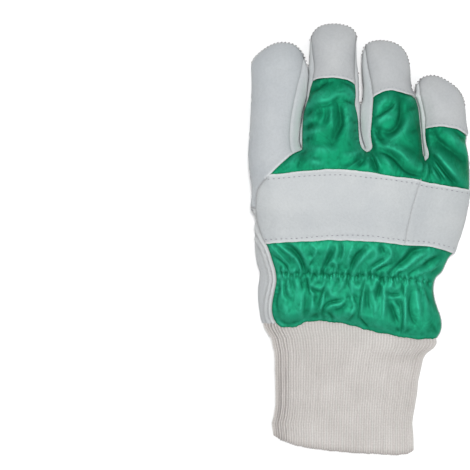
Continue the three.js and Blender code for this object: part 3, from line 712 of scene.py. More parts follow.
def leather(name, base):
    m, nt, bsdf = nodes_for(name, 0.56, 0.42)
    co = nt.nodes.new("ShaderNodeTexCoord").outputs["Object"]
    cloud = node(nt, "ShaderNodeTexNoise", Scale=38.0, Detail=5.0, Roughness=0.6)
    speck = node(nt, "ShaderNodeTexNoise", Scale=700.0, Detail=3.0, Roughness=0.7)
    grain = node(nt, "ShaderNodeTexVoronoi", Scale=1250.0)
    fine = node(nt, "ShaderNodeTexNoise", Scale=2200.0, Detail=4.0, Roughness=0.65)
    for t in (cloud, speck, grain, fine):
        nt.links.new(co, t.inputs["Vector"])
    r, g, b = base
    tone = ramp(nt, cloud.outputs["Fac"], [(0.3, (r * 0.93, g * 0.94, b * 0.955)), (0.7, (r * 1.045, g * 1.045, b * 1.04))])
    dots = ramp(nt, speck.outputs["Fac"], [(0.36, (0.93, 0.93, 0.93)), (0.6, (1.0, 1.0, 1.0))])
    col = mul(nt, tone, dots)
    # darker along seams, with shade painted in along rims and grooves
    seam = node(nt, "ShaderNodeAttribute", _attribute_name="seam")
    dark = ramp(nt, seam.outputs["Fac"], [(0.0, (1, 1, 1)), (1.0, (0.64, 0.62, 0.615))])
    col = mul(nt, col, dark)
    # lit: highlights and light painted into the colour, towards a pale grey
    lit = node(nt, "ShaderNodeAttribute", _attribute_name="lit")
    edge = nt.nodes.new("ShaderNodeMix")
    edge.data_type = "RGBA"
    nt.links.new(lit.outputs["Fac"], edge.inputs["Factor"])
    nt.links.new(col, edge.inputs["A"])
    edge.inputs["B"].default_value = (0.61, 0.632, 0.636, 1)
    nt.links.new(edge.outputs["Result"], bsdf.inputs["Base Color"])
    nt.links.new(ramp(nt, speck.outputs["Fac"], [(0.3, (0.50,) * 3), (0.7, (0.63,) * 3)]), bsdf.inputs["Roughness"])
    height = maths(nt, "ADD", maths(nt, "MULTIPLY", grain.outputs["Distance"], 0.6), maths(nt, "MULTIPLY", fine.outputs["Fac"], 0.5))
    height = maths(nt, "ADD", height, maths(nt, "MULTIPLY", speck.outputs["Fac"], 0.5))
    bump = node(nt, "ShaderNodeBump", Strength=0.22, Distance=0.00022)
    nt.links.new(height, bump.inputs["Height"])
    bend = node(nt, "ShaderNodeTexNoise", Scale=170.0, Detail=2.0, Roughness=0.5)
    nt.links.new(co, bend.inputs["Vector"])
    shift = nt.nodes.new("ShaderNodeVectorMath")
    shift.operation = "MULTIPLY_ADD"
    nt.links.new(bend.outputs["Color"], shift.inputs[0])
    shift.inputs[1].default_value = (0.006, 0.006, 0.006)
    nt.links.new(co, shift.inputs[2])
    creases = node(nt, "ShaderNodeTexVoronoi", Scale=210.0)
    creases.feature = "DISTANCE_TO_EDGE"
    nt.links.new(shift.outputs[0], creases.inputs["Vector"])
    valley = ramp(nt, creases.outputs["Distance"], [(0.0, (0, 0, 0)), (0.16, (1, 1, 1))])
    soft = node(nt, "ShaderNodeBump", Strength=0.16, Distance=0.00025)
    nt.links.new(valley, soft.inputs["Height"])
    nt.links.new(bump.outputs["Normal"], soft.inputs["Normal"])
    nt.links.new(soft.outputs["Normal"], bsdf.inputs["Normal"])
    return m


def satin(name):
    m, nt, bsdf = nodes_for(name, 0.60, 0.06)
    bsdf.inputs["Metallic"].default_value = 0.6
    co = nt.nodes.new("ShaderNodeTexCoord").outputs["Object"]
    cloud = node(nt, "ShaderNodeTexNoise", Scale=55.0, Detail=4.0, Roughness=0.55)
    warp = node(nt, "ShaderNodeTexWave", Scale=620.0, Distortion=0.6, Detail=2.0)
    warp.bands_direction = "X"
    weft = node(nt, "ShaderNodeTexWave", Scale=620.0, Distortion=0.6, Detail=2.0)
    weft.bands_direction = "Y"
    for t in (cloud, warp, weft):
        nt.links.new(co, t.inputs["Vector"])
    tone = ramp(nt, cloud.outputs["Fac"], [(0.3, (0.0045, 0.238, 0.114)), (0.7, (0.0068, 0.274, 0.132))])
    # lit: a highlight painted on the crests, towards a paler green
    crest = nt.nodes.new("ShaderNodeMix")
    crest.data_type = "RGBA"
    lit = node(nt, "ShaderNodeAttribute", _attribute_name="lit")
    nt.links.new(lit.outputs["Fac"], crest.inputs["Factor"])
    nt.links.new(tone, crest.inputs["A"])
    crest.inputs["B"].default_value = (0.036, 0.42, 0.262, 1)
    weave = ramp(nt, maths(nt, "ADD", maths(nt, "MULTIPLY", warp.outputs["Fac"], 0.5), maths(nt, "MULTIPLY", weft.outputs["Fac"], 0.5)), [(0.0, (0.86, 0.86, 0.86)), (1.0, (1.0, 1.0, 1.0))])
    col = mul(nt, crest.outputs["Result"], weave)
    along = nt.nodes.new("ShaderNodeVectorMath")
    along.operation = "MULTIPLY"
    nt.links.new(co, along.inputs[0])
    along.inputs[1].default_value = (1.0, 0.6, 1.0)
    crinkle = node(nt, "ShaderNodeTexNoise", Scale=135.0, Detail=2.0, Roughness=0.5, Distortion=0.9)
    nt.links.new(along.outputs[0], crinkle.inputs["Vector"])
    ridge = maths(nt, "ABSOLUTE", maths(nt, "SUBTRACT", crinkle.outputs["Fac"], 0.5), 0.0)
    # shade painted along thin crinkle lines, a little lighter between them
    col = mul(nt, col, ramp(nt, ridge, [(0.0, (0.84, 0.87, 0.86)), (0.035, (1.0, 1.0, 1.0)), (0.16, (1.04, 1.03, 1.05))]))
    # darker along the sewn edges, with shade painted into the folds
    seam = node(nt, "ShaderNodeAttribute", _attribute_name="seam")
    dark = ramp(nt, seam.outputs["Fac"], [(0.0, (1, 1, 1)), (1.0, (0.22, 0.30, 0.27))])
    nt.links.new(mul(nt, col, dark), bsdf.inputs["Base Color"])
    nt.links.new(ramp(nt, cloud.outputs["Fac"], [(0.3, (0.58,) * 3), (0.7, (0.66,) * 3)]), bsdf.inputs["Roughness"])
    bump = node(nt, "ShaderNodeBump", Strength=0.12, Distance=0.0001)
    nt.links.new(maths(nt, "MULTIPLY", warp.outputs["Fac"], weft.outputs["Fac"]), bump.inputs["Height"])
    fold = node(nt, "ShaderNodeBump", Strength=0.45, Distance=0.0014)
    nt.links.new(ridge, fold.inputs["Height"])
    nt.links.new(bump.outputs["Normal"], fold.inputs["Normal"])
    nt.links.new(fold.outputs["Normal"], bsdf.inputs["Normal"])
    return m


def knit(name, base=(0.594, 0.574, 0.557)):
    m, nt, bsdf = nodes_for(name, 0.92, 0.25)
    bsdf.inputs["Sheen Weight"].default_value = 0.25
    bsdf.inputs["Sheen Roughness"].default_value = 0.6
    co = nt.nodes.new("ShaderNodeTexCoord").outputs["Object"]
    cloud = node(nt, "ShaderNodeTexNoise", Scale=45.0, Detail=4.0, Roughness=0.6)
    fuzz = node(nt, "ShaderNodeTexNoise", Scale=1500.0, Detail=4.0, Roughness=0.7)
    courses = node(nt, "ShaderNodeTexWave", Scale=330.0, Distortion=2.2, Detail=2.0)
    courses.bands_direction = "Y"
    for t in (cloud, fuzz, courses):
        nt.links.new(co, t.inputs["Vector"])
    r, g, b = base
    tone = ramp(nt, cloud.outputs["Fac"], [(0.3, (r * 0.93, g * 0.925, b * 0.92)), (0.7, (r * 1.05, g * 1.05, b * 1.05))])
    col = mul(nt, tone, ramp(nt, courses.outputs["Fac"], [(0.0, (0.90, 0.89, 0.88)), (0.7, (1, 1, 1))]))
    col = mul(nt, col, ramp(nt, fuzz.outputs["Fac"], [(0.3, (0.80, 0.80, 0.80)), (0.6, (1.02, 1.02, 1.02))]))
    # shade painted between the ribs, in the crease and inside, dirt on the mouth's edge
    seam = node(nt, "ShaderNodeAttribute", _attribute_name="seam")
    dark = ramp(nt, seam.outputs["Fac"], [(0.0, (1, 1, 1)), (1.0, (0.56, 0.53, 0.52))])
    nt.links.new(mul(nt, col, dark), bsdf.inputs["Base Color"])
    bump = node(nt, "ShaderNodeBump", Strength=0.5, Distance=0.0003)
    nt.links.new(maths(nt, "ADD", maths(nt, "MULTIPLY", fuzz.outputs["Fac"], 0.5), maths(nt, "MULTIPLY", courses.outputs["Fac"], 0.6)), bump.inputs["Height"])
    nt.links.new(bump.outputs["Normal"], bsdf.inputs["Normal"])
    return m


def thread(name, base):
    m, nt, bsdf = nodes_for(name, 0.7, 0.3)
    co = nt.nodes.new("ShaderNodeTexCoord").outputs["Object"]
    twist = node(nt, "ShaderNodeTexNoise", Scale=2600.0, Detail=2.0, Roughness=0.6)
    nt.links.new(co, twist.inputs["Vector"])
    r, g, b = base
    nt.links.new(ramp(nt, twist.outputs["Fac"], [(0.3, (r * 0.8, g * 0.8, b * 0.8)), (0.7, (r * 1.1, g * 1.1, b * 1.1))]), bsdf.inputs["Base Color"])
    return m


LEATHER = leather("leather", (0.408, 0.430, 0.446))
LEATHER_B = leather("leather_band", (0.440, 0.460, 0.468))
LEATHER_TIP = leather("leather_tip", (0.404, 0.416, 0.424))
LEATHER_T = leather("leather_thumb", (0.440, 0.455, 0.462))
# the strips between the fingers: a lighter copy of the leather, painted light against the shade in the gaps
LEATHER_STRIP_PAINTED_LIGHT = leather("leather_strip_painted_light", (0.470, 0.492, 0.506))
GREEN = satin("green_satin")
KNIT = knit("rib_knit")
THREAD = thread("thread_grey", (0.215, 0.205, 0.235))
THREAD_W = thread("thread_pale", (0.30, 0.325, 0.355))
THREAD_TIP = thread("thread_seam", (0.17, 0.145, 0.14))

# ---------------------------------------------------------------- folds of the green cloth, read off the photograph
# half width in pixels, height in mm, and the line of the crest or the valley in pixels
UPPER_FOLDS = [
    # middle finger
    (2.5, 0.8, [(311.9, 86.7), (318.9, 81.6)]),
    (3.5, -1.6, [(310.7, 91.8), (317, 88.6), (322.8, 83.5), (327.9, 79)]),
    (2.0, -0.7, [(331, 79), (331, 83)]),
    (4.0, 1.3, [(308.7, 104), (317, 95.6), (326.6, 93)]),
    (3.4, 0.9, [(307.8, 105.4), (315.1, 102.6), (326.6, 99.8), (332.4, 97.2), (337.4, 93.8), (342.4, 92.8), (347.6, 95.8), (352.1, 100)]),
    (1.7, -0.55, [(308.2, 110.0), (316, 107.2), (326.6, 105.0), (332.2, 102.6), (337.6, 98.6), (342.4, 97.6)]),
    (1.5, -0.6, [(337.4, 92.4), (345.7, 90.5)]),
    (2.2, -1.0, [(340.6, 80.3), (350.2, 86), (354, 91.1)]),
    (3.0, 0.9, [(345.1, 87.9), (351.4, 93), (350.2, 100)]),
    (1.8, -1.2, [(343.8, 99.8), (352.7, 104.4)]),
    (4.5, -2.1, [(337.4, 101.7), (339.3, 110.2), (340.6, 123), (336.8, 132.5), (331.7, 142.1)]),
    (3.5, -0.9, [(317.7, 109), (318.3, 115)]),
    (3.0, -1.1, [(326, 106.1), (326, 115.3), (324, 125.5)]),
    (2.5, 0.8, [(330.6, 107.7), (331.2, 126.2)]),
    (2.6, -1.3, [(311.5, 109.6), (306.8, 115.3)]),
    (3.0, -1.6, [(313.5, 123.6), (304.3, 128.1)]),
    (2.6, 0.7, [(312, 117.6), (305.7, 121.2)]),
    (3.5, 1.1, [(322.8, 129.4), (308.1, 133.2)]),
    (2.2, -1.1, [(309, 136.4), (304.3, 141.4)]),
    (2.5, -0.8, [(306.2, 149.8), (299.8, 154.2)]),
    (4.0, 1.0, [(348.3, 107), (348.9, 135.7)]),
    (1.5, -0.8, [(352.0, 123), (355.4, 121.6)]),
    (1.5, -0.8, [(353.2, 131.2), (356.6, 130)]),
    (1.5, -0.8, [(354.4, 139.4), (358.2, 138.4)]),
    (4.0, 1.0, [(308.9, 160.2), (321.5, 163.8)]),
    (3.0, 0.9, [(359.7, 152.3), (344.4, 154.9)]),
    (1.6, -1.4, [(360.7, 156.4), (350.8, 163.8), (340.6, 168.2)]),
    (1.5, 0.9, [(360.7, 159.3), (347, 167.6)]),
    (3.0, -1.2, [(362.9, 160), (357.2, 166)]),
    (4.4, 1.1, [(299, 153), (283, 168)]),
    (2.6, -0.8, [(303, 154), (297, 169)]),
    (4.0, 0.7, [(308, 148), (330, 150)]),
    (2.6, -0.7, [(279, 171), (291, 165)]),
    # ring finger
    (4.2, 1.4, [(374.3, 113.0), (378.4, 105.4), (385.3, 98.6), (390.8, 95.8)]),
    (1.8, -1.5, [(373.6, 117.6), (383.2, 112.1), (391.0, 105.9), (394.4, 100.4)]),
    (1.5, 0.8, [(395.6, 99.8), (393.9, 107.8), (387.7, 112.9), (376.3, 120.8)]),
    (4.0, 1.3, [(375, 125.3), (383.2, 118.9), (394.6, 115)]),
    (4.0, -2.0, [(399.6, 93.6), (400, 104.7), (399.4, 117), (396.3, 126.7), (388.7, 132.2), (378.3, 129.8)]),
    (4.0, 1.2, [(408.6, 97), (411.6, 101.5)]),
    (2.5, -0.9, [(406.3, 110.6), (415.6, 107.9)]),
    (4.0, 1.2, [(411.5, 113.4), (404.6, 125.3), (394.9, 136), (387.7, 142.2)]),
    (2.5, -0.9, [(409.8, 132.5), (416.6, 130.5)]),
    (1.6, -0.8, [(417, 122.6), (420.0, 139.1)]),
    (3.0, -1.3, [(373.9, 127.8), (378.4, 136.4), (383.5, 142.5)]),
    (1.8, 0.9, [(372.2, 130.8), (374.0, 139.1), (377, 146)]),
    (5.0, -0.9, [(401.9, 146), (417.7, 153.9)]),
    (4.0, 1.8, [(377.4, 145.6), (391.5, 148.4), (401.8, 153.6), (409.7, 161.8), (418.7, 168)]),
    (3.6, -1.9, [(380.5, 150.9), (392.2, 157.4), (404.6, 170.1), (414.2, 173.9), (423.1, 174.5)]),
    (2.5, 0.9, [(378.8, 152.9), (386.7, 161.0), (392.5, 172.2)]),
    (2.4, -1.5, [(370.8, 155.3), (374.3, 164.3), (377.4, 171.8)]),
    (1.4, 0.9, [(370.1, 151.8), (375.6, 158.4), (380.1, 166.6)]),
    (2.5, 0.8, [(366.4, 155), (367.4, 168.6)]),
    # between the ring and the little finger
    (2.0, 1.1, [(425.6, 161.9), (426.2, 171.5), (424.8, 177.3)]),
    (1.6, -1.5, [(428.2, 162.4), (430, 175.9)]),
    (1.5, 1.1, [(429.6, 164.6), (434.2, 174.9), (439, 181.4)]),
    (1.8, -1.5, [(431.3, 163.3), (437.6, 172.2), (443.8, 181.0)]),
    (1.3, 0.9, [(432.9, 161.0), (440.4, 171.7), (446.2, 181.4)]),
    (2.2, -2.0, [(432.5, 156.5), (439, 165.6), (447.3, 175.9), (457.9, 186.9)]),
    (3.8, 1.8, [(427.3, 139.2), (429.4, 149.0), (438.3, 156.3), (448.6, 168.3), (457.6, 178.4), (465.8, 185.9)]),
    (5.6, -2.2, [(431.1, 129.8), (437.2, 140.1), (446.2, 147.4), (455.2, 153.9), (463.4, 161.6), (467.5, 171)]),
    (2.0, 0.8, [(428, 130.8), (427.6, 137.7)]),
    (1.6, -0.8, [(425.4, 133.6), (426.3, 147)]),
    (3.5, 1.6, [(447.2, 132.0), (454.2, 139.2), (462.4, 148.1), (467.0, 158.0)]),
    (2.0, -1.1, [(453.8, 129.8), (461, 137.4), (465.8, 143.0)]),
    (1.5, -0.9, [(422.8, 160.4), (423.1, 174.5)]),
    (1.8, 0.7, [(419.7, 161.8), (420.4, 172.8)]),
]
LOWER_FOLDS = [
    # between the band and the elastic
    (1.6, -1.5, [(270.1, 254.3), (279.6, 260.6), (285, 265.5), (288.4, 271.2), (290.4, 274.5)]),
    (1.8, 1.0, [(270.5, 247.0), (278.5, 254.0), (286.3, 260.8), (290.6, 266)]),
    (2.6, -1.2, [(274.2, 246.2), (282.3, 255.0), (289.6, 262.7), (293, 268)]),
    (1.5, 1.2, [(277.2, 245.0), (285.2, 250.2), (293.4, 256.6), (298.4, 262.5), (300, 270)]),
    (3.0, -2.0, [(283.8, 244.6), (291, 248.9), (297.2, 255.0), (301.2, 263), (303.9, 270.5), (306, 274)]),
    (2.2, 1.1, [(293, 244.6), (299.2, 251), (303.8, 260), (306.5, 268)]),
    (2.5, -0.9, [(309.7, 252.6), (311.3, 257)]),
    (1.4, 0.8, [(310, 244), (315.4, 248.5), (315.0, 254.0), (309.4, 261.0), (307.8, 267.4)]),
    (2.2, -0.9, [(312.6, 260), (309.3, 266.4)]),
    (1.8, 0.9, [(328, 243.5), (325.4, 253), (322.4, 262), (319.7, 270)]),
    (3.4, -1.9, [(332.6, 248.9), (328.8, 256.9), (325.3, 263.6), (321.8, 270.8)]),
    (1.6, 0.9, [(335.6, 245), (335.0, 255), (332.4, 260.5)]),
    (2.2, -1.1, [(339.0, 243.4), (340.4, 250.6), (338.2, 259.7)]),
    (1.4, 0.9, [(343.2, 244), (343.0, 254), (340.2, 262)]),
    (1.4, 0.9, [(327.0, 268.4), (328.0, 263.4), (333.0, 261.4), (336.4, 264.4), (335.4, 269.4), (331.4, 271.6)]),
    (1.8, -1.0, [(330.6, 265.6), (332.0, 267.6)]),
    (1.6, -1.4, [(338.0, 263.4), (338.4, 274.9)]),
    (2.0, -0.9, [(344.6, 266.5), (345.8, 270.0)]),
    (3.0, -1.9, [(366.0, 247.0), (358.8, 252.5), (354, 258.4), (351.4, 264.9), (349.8, 272.8)]),
    (2.0, 1.0, [(352.6, 244.0), (348.4, 254), (346.8, 263.6)]),
    (2.4, 1.2, [(371.6, 248.8), (364.3, 256.2), (357.8, 263.2), (352.8, 271.4)]),
    (2.8, -1.4, [(379.6, 246), (383.6, 253.5)]),
    (2.0, 0.8, [(374, 246), (375.5, 255), (369, 264)]),
    (1.6, 1.2, [(384.6, 244.3), (389.8, 249.8), (389.6, 256), (383.6, 261.9), (374.9, 267.0), (368.0, 272.4)]),
    (1.7, -1.4, [(385.0, 258.0), (374.2, 264.6), (368.8, 269.2)]),
    (1.9, -1.5, [(389.7, 263.6), (379.8, 268.4), (373.9, 273.8)]),
    (1.8, 1.2, [(407.3, 248.2), (400.5, 257.6), (393.4, 265.6), (386.7, 271.6)]),
    (4.4, -2.4, [(423.8, 247.8), (411.9, 252.6), (404.4, 260.1), (396, 266.0), (390.0, 272.6)]),
    (2.2, 1.6, [(428.3, 250.6), (417.5, 257.2), (410.4, 262.9), (404.4, 267.9), (395.6, 271.4), (391.8, 276.6)]),
    (1.8, 1.0, [(434.2, 251.9), (421.0, 261.3), (413.5, 268.4)]),
    (3.4, -1.9, [(439.8, 255.4), (428.0, 261.9), (420.5, 267.8)]),
    (1.8, 1.1, [(443.5, 259.2), (431.5, 268.2), (419.6, 273.2), (412.9, 277.2)]),
    (2.2, -1.0, [(416, 268.4), (407.5, 275.2)]),
    (2.2, -1.0, [(438, 267), (429.4, 274.2)]),
    # pits along the elastic
    (1.5, -1.0, [(279.6, 270.6), (280.8, 273.4)]), (1.6, -1.0, [(290.0, 274.2), (291.2, 277.4)]), (1.3, -0.8, [(296.5, 275.0), (296.7, 278.0)]), (1.5, -1.1, [(303.0, 272.4), (303.6, 275.6)]),
    (1.5, -1.0, [(308, 270.0), (308.4, 273.6)]), (1.6, -1.1, [(314, 272.9), (314.1, 276.2)]), (1.6, -1.2, [(321.3, 270.5), (321.8, 274.5)]), (1.5, -1.0, [(326.4, 275), (328, 278.4)]),
    (1.6, -1.2, [(336.2, 272.0), (336.6, 275.8)]), (1.3, -0.9, [(341, 272.8), (341.4, 276.2)]), (1.6, -1.1, [(347.5, 274.6), (348.3, 278.4)]), (1.5, -1.0, [(355.8, 274.2), (356.4, 277.8)]),
    (1.3, -0.9, [(361.6, 274), (362, 277)]), (1.7, -1.2, [(368.0, 272.6), (369.0, 277.0)]), (1.4, -0.9, [(374.4, 273.6), (374.9, 277)]), (1.6, -1.1, [(380.6, 273.0), (381.4, 277.0)]),
    (1.4, -0.9, [(388.6, 273.4), (389.2, 277.6)]), (1.8, -1.3, [(396.6, 275.4), (399.6, 272.6)]), (1.6, -1.1, [(404.0, 275.6), (404.6, 279.6)]), (1.5, -1.1, [(409, 278.2), (409.6, 282.2)]),
    (1.5, -1.1, [(416.2, 278.2), (417.0, 282.4)]), (1.4, -1.0, [(422.6, 281), (423.2, 285)]), (1.4, -1.0, [(427.8, 282), (428.2, 286)]), (1.3, -0.9, [(285.6, 272.2), (285.4, 275.6)]),
    (1.3, -0.8, [(331.6, 274.8), (331.4, 277.6)]), (1.2, -0.8, [(384.6, 277.0), (386.0, 280.6)]), (1.3, -0.9, [(392.8, 278.6), (394.6, 283.0)]), (1.3, -0.9, [(400.6, 280.6), (401.0, 284)]),
    # under the elastic
    (2.5, -1.3, [(277.6, 279), (278.4, 289), (275.6, 297.9), (275.6, 307), (278.0, 315.8)]),
    (1.6, 1.0, [(281.6, 276.6), (280.3, 286.7), (281.3, 297.5)]),
    (2.0, -0.9, [(284.5, 280.3), (284.6, 293.8), (290.4, 301.9)]),
    (1.6, 1.0, [(287.9, 277.5), (287, 286), (290, 295.5)]),
    (2.0, -0.8, [(291, 279.3), (292.8, 288)]),
    (1.7, 0.8, [(296.0, 279), (296.4, 290), (294.6, 302)]),
    (1.8, -1.3, [(300.5, 280.4), (302.6, 289.7)]),
    (2.0, 1.0, [(303.0, 290.4), (300.9, 302.6), (299.9, 316.8)]),
    (1.7, -2.0, [(306, 274.5), (306.5, 283.3), (308, 293.6)]),
    (1.5, 1.2, [(308.6, 277.5), (309.0, 286.7), (312.4, 295.5), (311.8, 303.6), (308.3, 316.8)]),
    (3.0, -1.0, [(305.4, 294), (305.4, 306), (304.6, 317.8)]),
    (1.5, 1.0, [(313.0, 279.6), (312.6, 285.2), (317.8, 288.4), (322.8, 286.4), (323.6, 281.6)]),
    (2.0, -0.9, [(315.7, 283.0), (319.7, 283.3)]),
    (2.2, -1.6, [(309.9, 287.4), (313.8, 290.9), (319.6, 292.0)]),
    (1.2, -2.3, [(326.9, 281.7), (322.9, 288.7), (320.1, 295.5), (318.1, 301.4), (315.7, 310.6)]),
    (2.3, -1.5, [(315.4, 295.1), (314.7, 302.6)]),
    (1.6, 1.2, [(325.7, 287.0), (323.3, 293.5), (321.3, 303.6), (319.7, 318.1)]),
    (2.0, -1.7, [(342.1, 299.6), (329.6, 302.0), (323.9, 306.2), (321.6, 313.4), (323.3, 320.2)]),
    (1.5, 1.2, [(344.4, 298.6), (340.4, 303.8), (330.6, 305.9), (325.7, 310.1)]),
    (2.4, -1.3, [(346.4, 302.6), (340.4, 308.8), (332.7, 310.8)]),
    (1.9, -1.5, [(325.8, 311.5), (329.9, 315.1), (332.2, 320.8)]),
    (2.0, 0.9, [(331, 313.4), (338, 316.8), (347, 312)]),
    (3.4, -1.3, [(311.2, 318.6), (318.0, 313.8)]),
    (1.6, -1.5, [(346.5, 277.3), (346.7, 285.7)]),
    (2.4, -1.0, [(346.8, 295.5), (347.6, 299.5)]),
    (1.6, -1.2, [(338.8, 277.9), (335.3, 285.7)]),
    (1.8, 0.9, [(343.1, 276.9), (340.8, 286), (335, 293)]),
    (2.0, -1.1, [(324.4, 291.0), (326.0, 299.2)]),
    (2.0, 0.9, [(331, 284), (330.5, 293), (337, 297)]),
    (1.5, 1.0, [(349.4, 278.3), (351.4, 287), (351.9, 299.6)]),
    (1.4, 0.9, [(352.7, 280.2), (354.2, 286.3), (358.0, 288.6), (360.4, 284.2)]),
    (1.8, -0.9, [(355.9, 283.0), (358.3, 283.8)]),
    (1.15, -2.5, [(364.3, 277.7), (361.7, 288.4), (359.6, 298), (358.3, 305.9), (357.2, 318.8)]),
    (2.1, -1.4, [(352.9, 294.6), (356.6, 304.2)]),
    (2.2, 1.2, [(352.7, 299), (353.0, 308.3), (348.1, 317.3)]),
    (1.6, 1.6, [(364.6, 283.2), (362.0, 298), (360.7, 313.8)]),
    (3.0, -1.3, [(366.4, 287.7), (366.6, 300.5), (368.1, 312.4)]),
    (1.7, 1.0, [(367.9, 283.6), (370.0, 290.0), (374.1, 286.0), (376, 280.4)]),
    (2.0, 0.9, [(372, 292), (374.6, 304), (374, 318)]),
    (2.6, -1.8, [(379.6, 281.8), (378.3, 291.1), (375.8, 298.6)]),
    (1.5, -1.6, [(381.5, 277.7), (383.1, 284.5)]),
    (2.0, 1.6, [(383.3, 286), (383.3, 301.4), (381.7, 318.2)]),
    (2.0, -1.5, [(386.9, 292.6), (393, 294.6), (400.3, 293.6)]),
    (1.4, 1.1, [(391.8, 297.2), (398.8, 296.2), (404, 290)]),
    (1.4, 0.9, [(387.6, 281), (391.0, 286.6), (396.2, 288.6), (400, 284.6)]),
    (1.3, 0.8, [(386.4, 289.4), (390.8, 284.8), (392.4, 280.6)]),
    (3.0, -1.8, [(388.7, 301.5), (392.8, 311.8), (396.2, 322.7)]),
    (1.8, -1.4, [(394.5, 299.9), (399.6, 305.8)]),
    (1.15, -2.4, [(399.9, 301.5), (401.3, 315.2), (401.0, 325.6), (399.6, 335.4)]),
    (1.4, -1.7, [(402.4, 282.2), (401.5, 295.6)]),
    (2.0, 1.9, [(404.8, 286.4), (405.0, 304.9), (404.2, 329.6)]),
    (2.6, -1.4, [(411.1, 291.2), (409.0, 304.9), (411.7, 318.7), (418.6, 326.6)]),
    (2.2, 1.3, [(416, 286.4), (416.2, 298), (419.8, 317.2)]),
    (1.5, -1.1, [(417.7, 283.2), (419.1, 292.1)]),
    (1.6, 1.0, [(421.1, 286), (424.8, 298), (427.6, 313.8)]),
    (2.0, -1.1, [(424.1, 288.7), (429.0, 304.1)]),
    (1.6, 0.8, [(428.5, 287), (431.5, 298), (434.5, 308)]),
    (2.0, -1.3, [(431.8, 287.4), (433.1, 300.1), (436.8, 311)]),
    (2.4, -1.1, [(396.0, 331.4), (398.4, 329.6)]),
    (2.4, -1.1, [(405.5, 332.4), (408.9, 329.6)]),
    (1.7, -1.7, [(358.4, 316.6), (367.6, 328.6)]),
    (1.6, -1.1, [(355.0, 312.4), (347.0, 321.0)]),
    (2.6, 1.1, [(372, 322), (386, 330)]),
    (2.4, -0.9, [(430, 322), (436, 334)]),
    (2.8, 0.9, [(284, 300), (288, 318)]),
    (2.4, -0.9, [(276, 318), (288, 325), (300, 321)]),
]


ELASTIC = photo([(268, 272.2), (290, 273.6), (306, 274.2), (322, 274.6), (340, 275.0), (356, 275.6), (372, 276.2), (390, 277.6), (405, 279.4), (420, 281.4), (436, 284)])


def elastic(x):
    return np.interp(x, ELASTIC[:, 0], ELASTIC[:, 1]) + 0.62 * np.sin(x * 0.80 + 1) + 0.34 * np.sin(x * 1.57 + 2) + 0.3 * np.sin(x * 0.31)


PITS = np.array([262, 268, 273.5, 280.2, 285.5, 290.6, 296.6, 303.3, 308.2, 314.0, 321.5, 327.2, 331.5, 336.4, 341.2, 347.9, 356.1, 361.8, 368.5, 374.6, 381.0, 388.9,
                 393.7, 399.0, 404.3, 409.3, 416.6, 422.9, 428.0, 433.5, 440, 446, 452])


def pit_phase(pts):
    x, dy = pts[:, 0], pts[:, 1] - elastic(pts[:, 0])
    px = x / PX + 359 + 0.22 * dy * np.sin(x * 0.9 + 0.5)
    return 0.5 - 0.5 * np.cos(2 * np.pi * np.interp(px, PITS, np.arange(len(PITS)))), dy


def gathers(pts):
    """Pleats that the elastic draws the cloth into: up between two pits, down in them, and gone a finger's width away."""
    up, dy = pit_phase(pts)
    near = np.abs(dy)
    k = 0.75 + 0.25 * np.sin(pts[:, 0] * 0.83 + 2)
    return k * (0.55 * up * np.exp(-((near / 4.6) ** 2)) + 0.55 * up * np.exp(-(((near - 1.9) / 1.3) ** 2)) - 0.55 * (1 - up) * np.exp(-((near / 2.6) ** 2)))


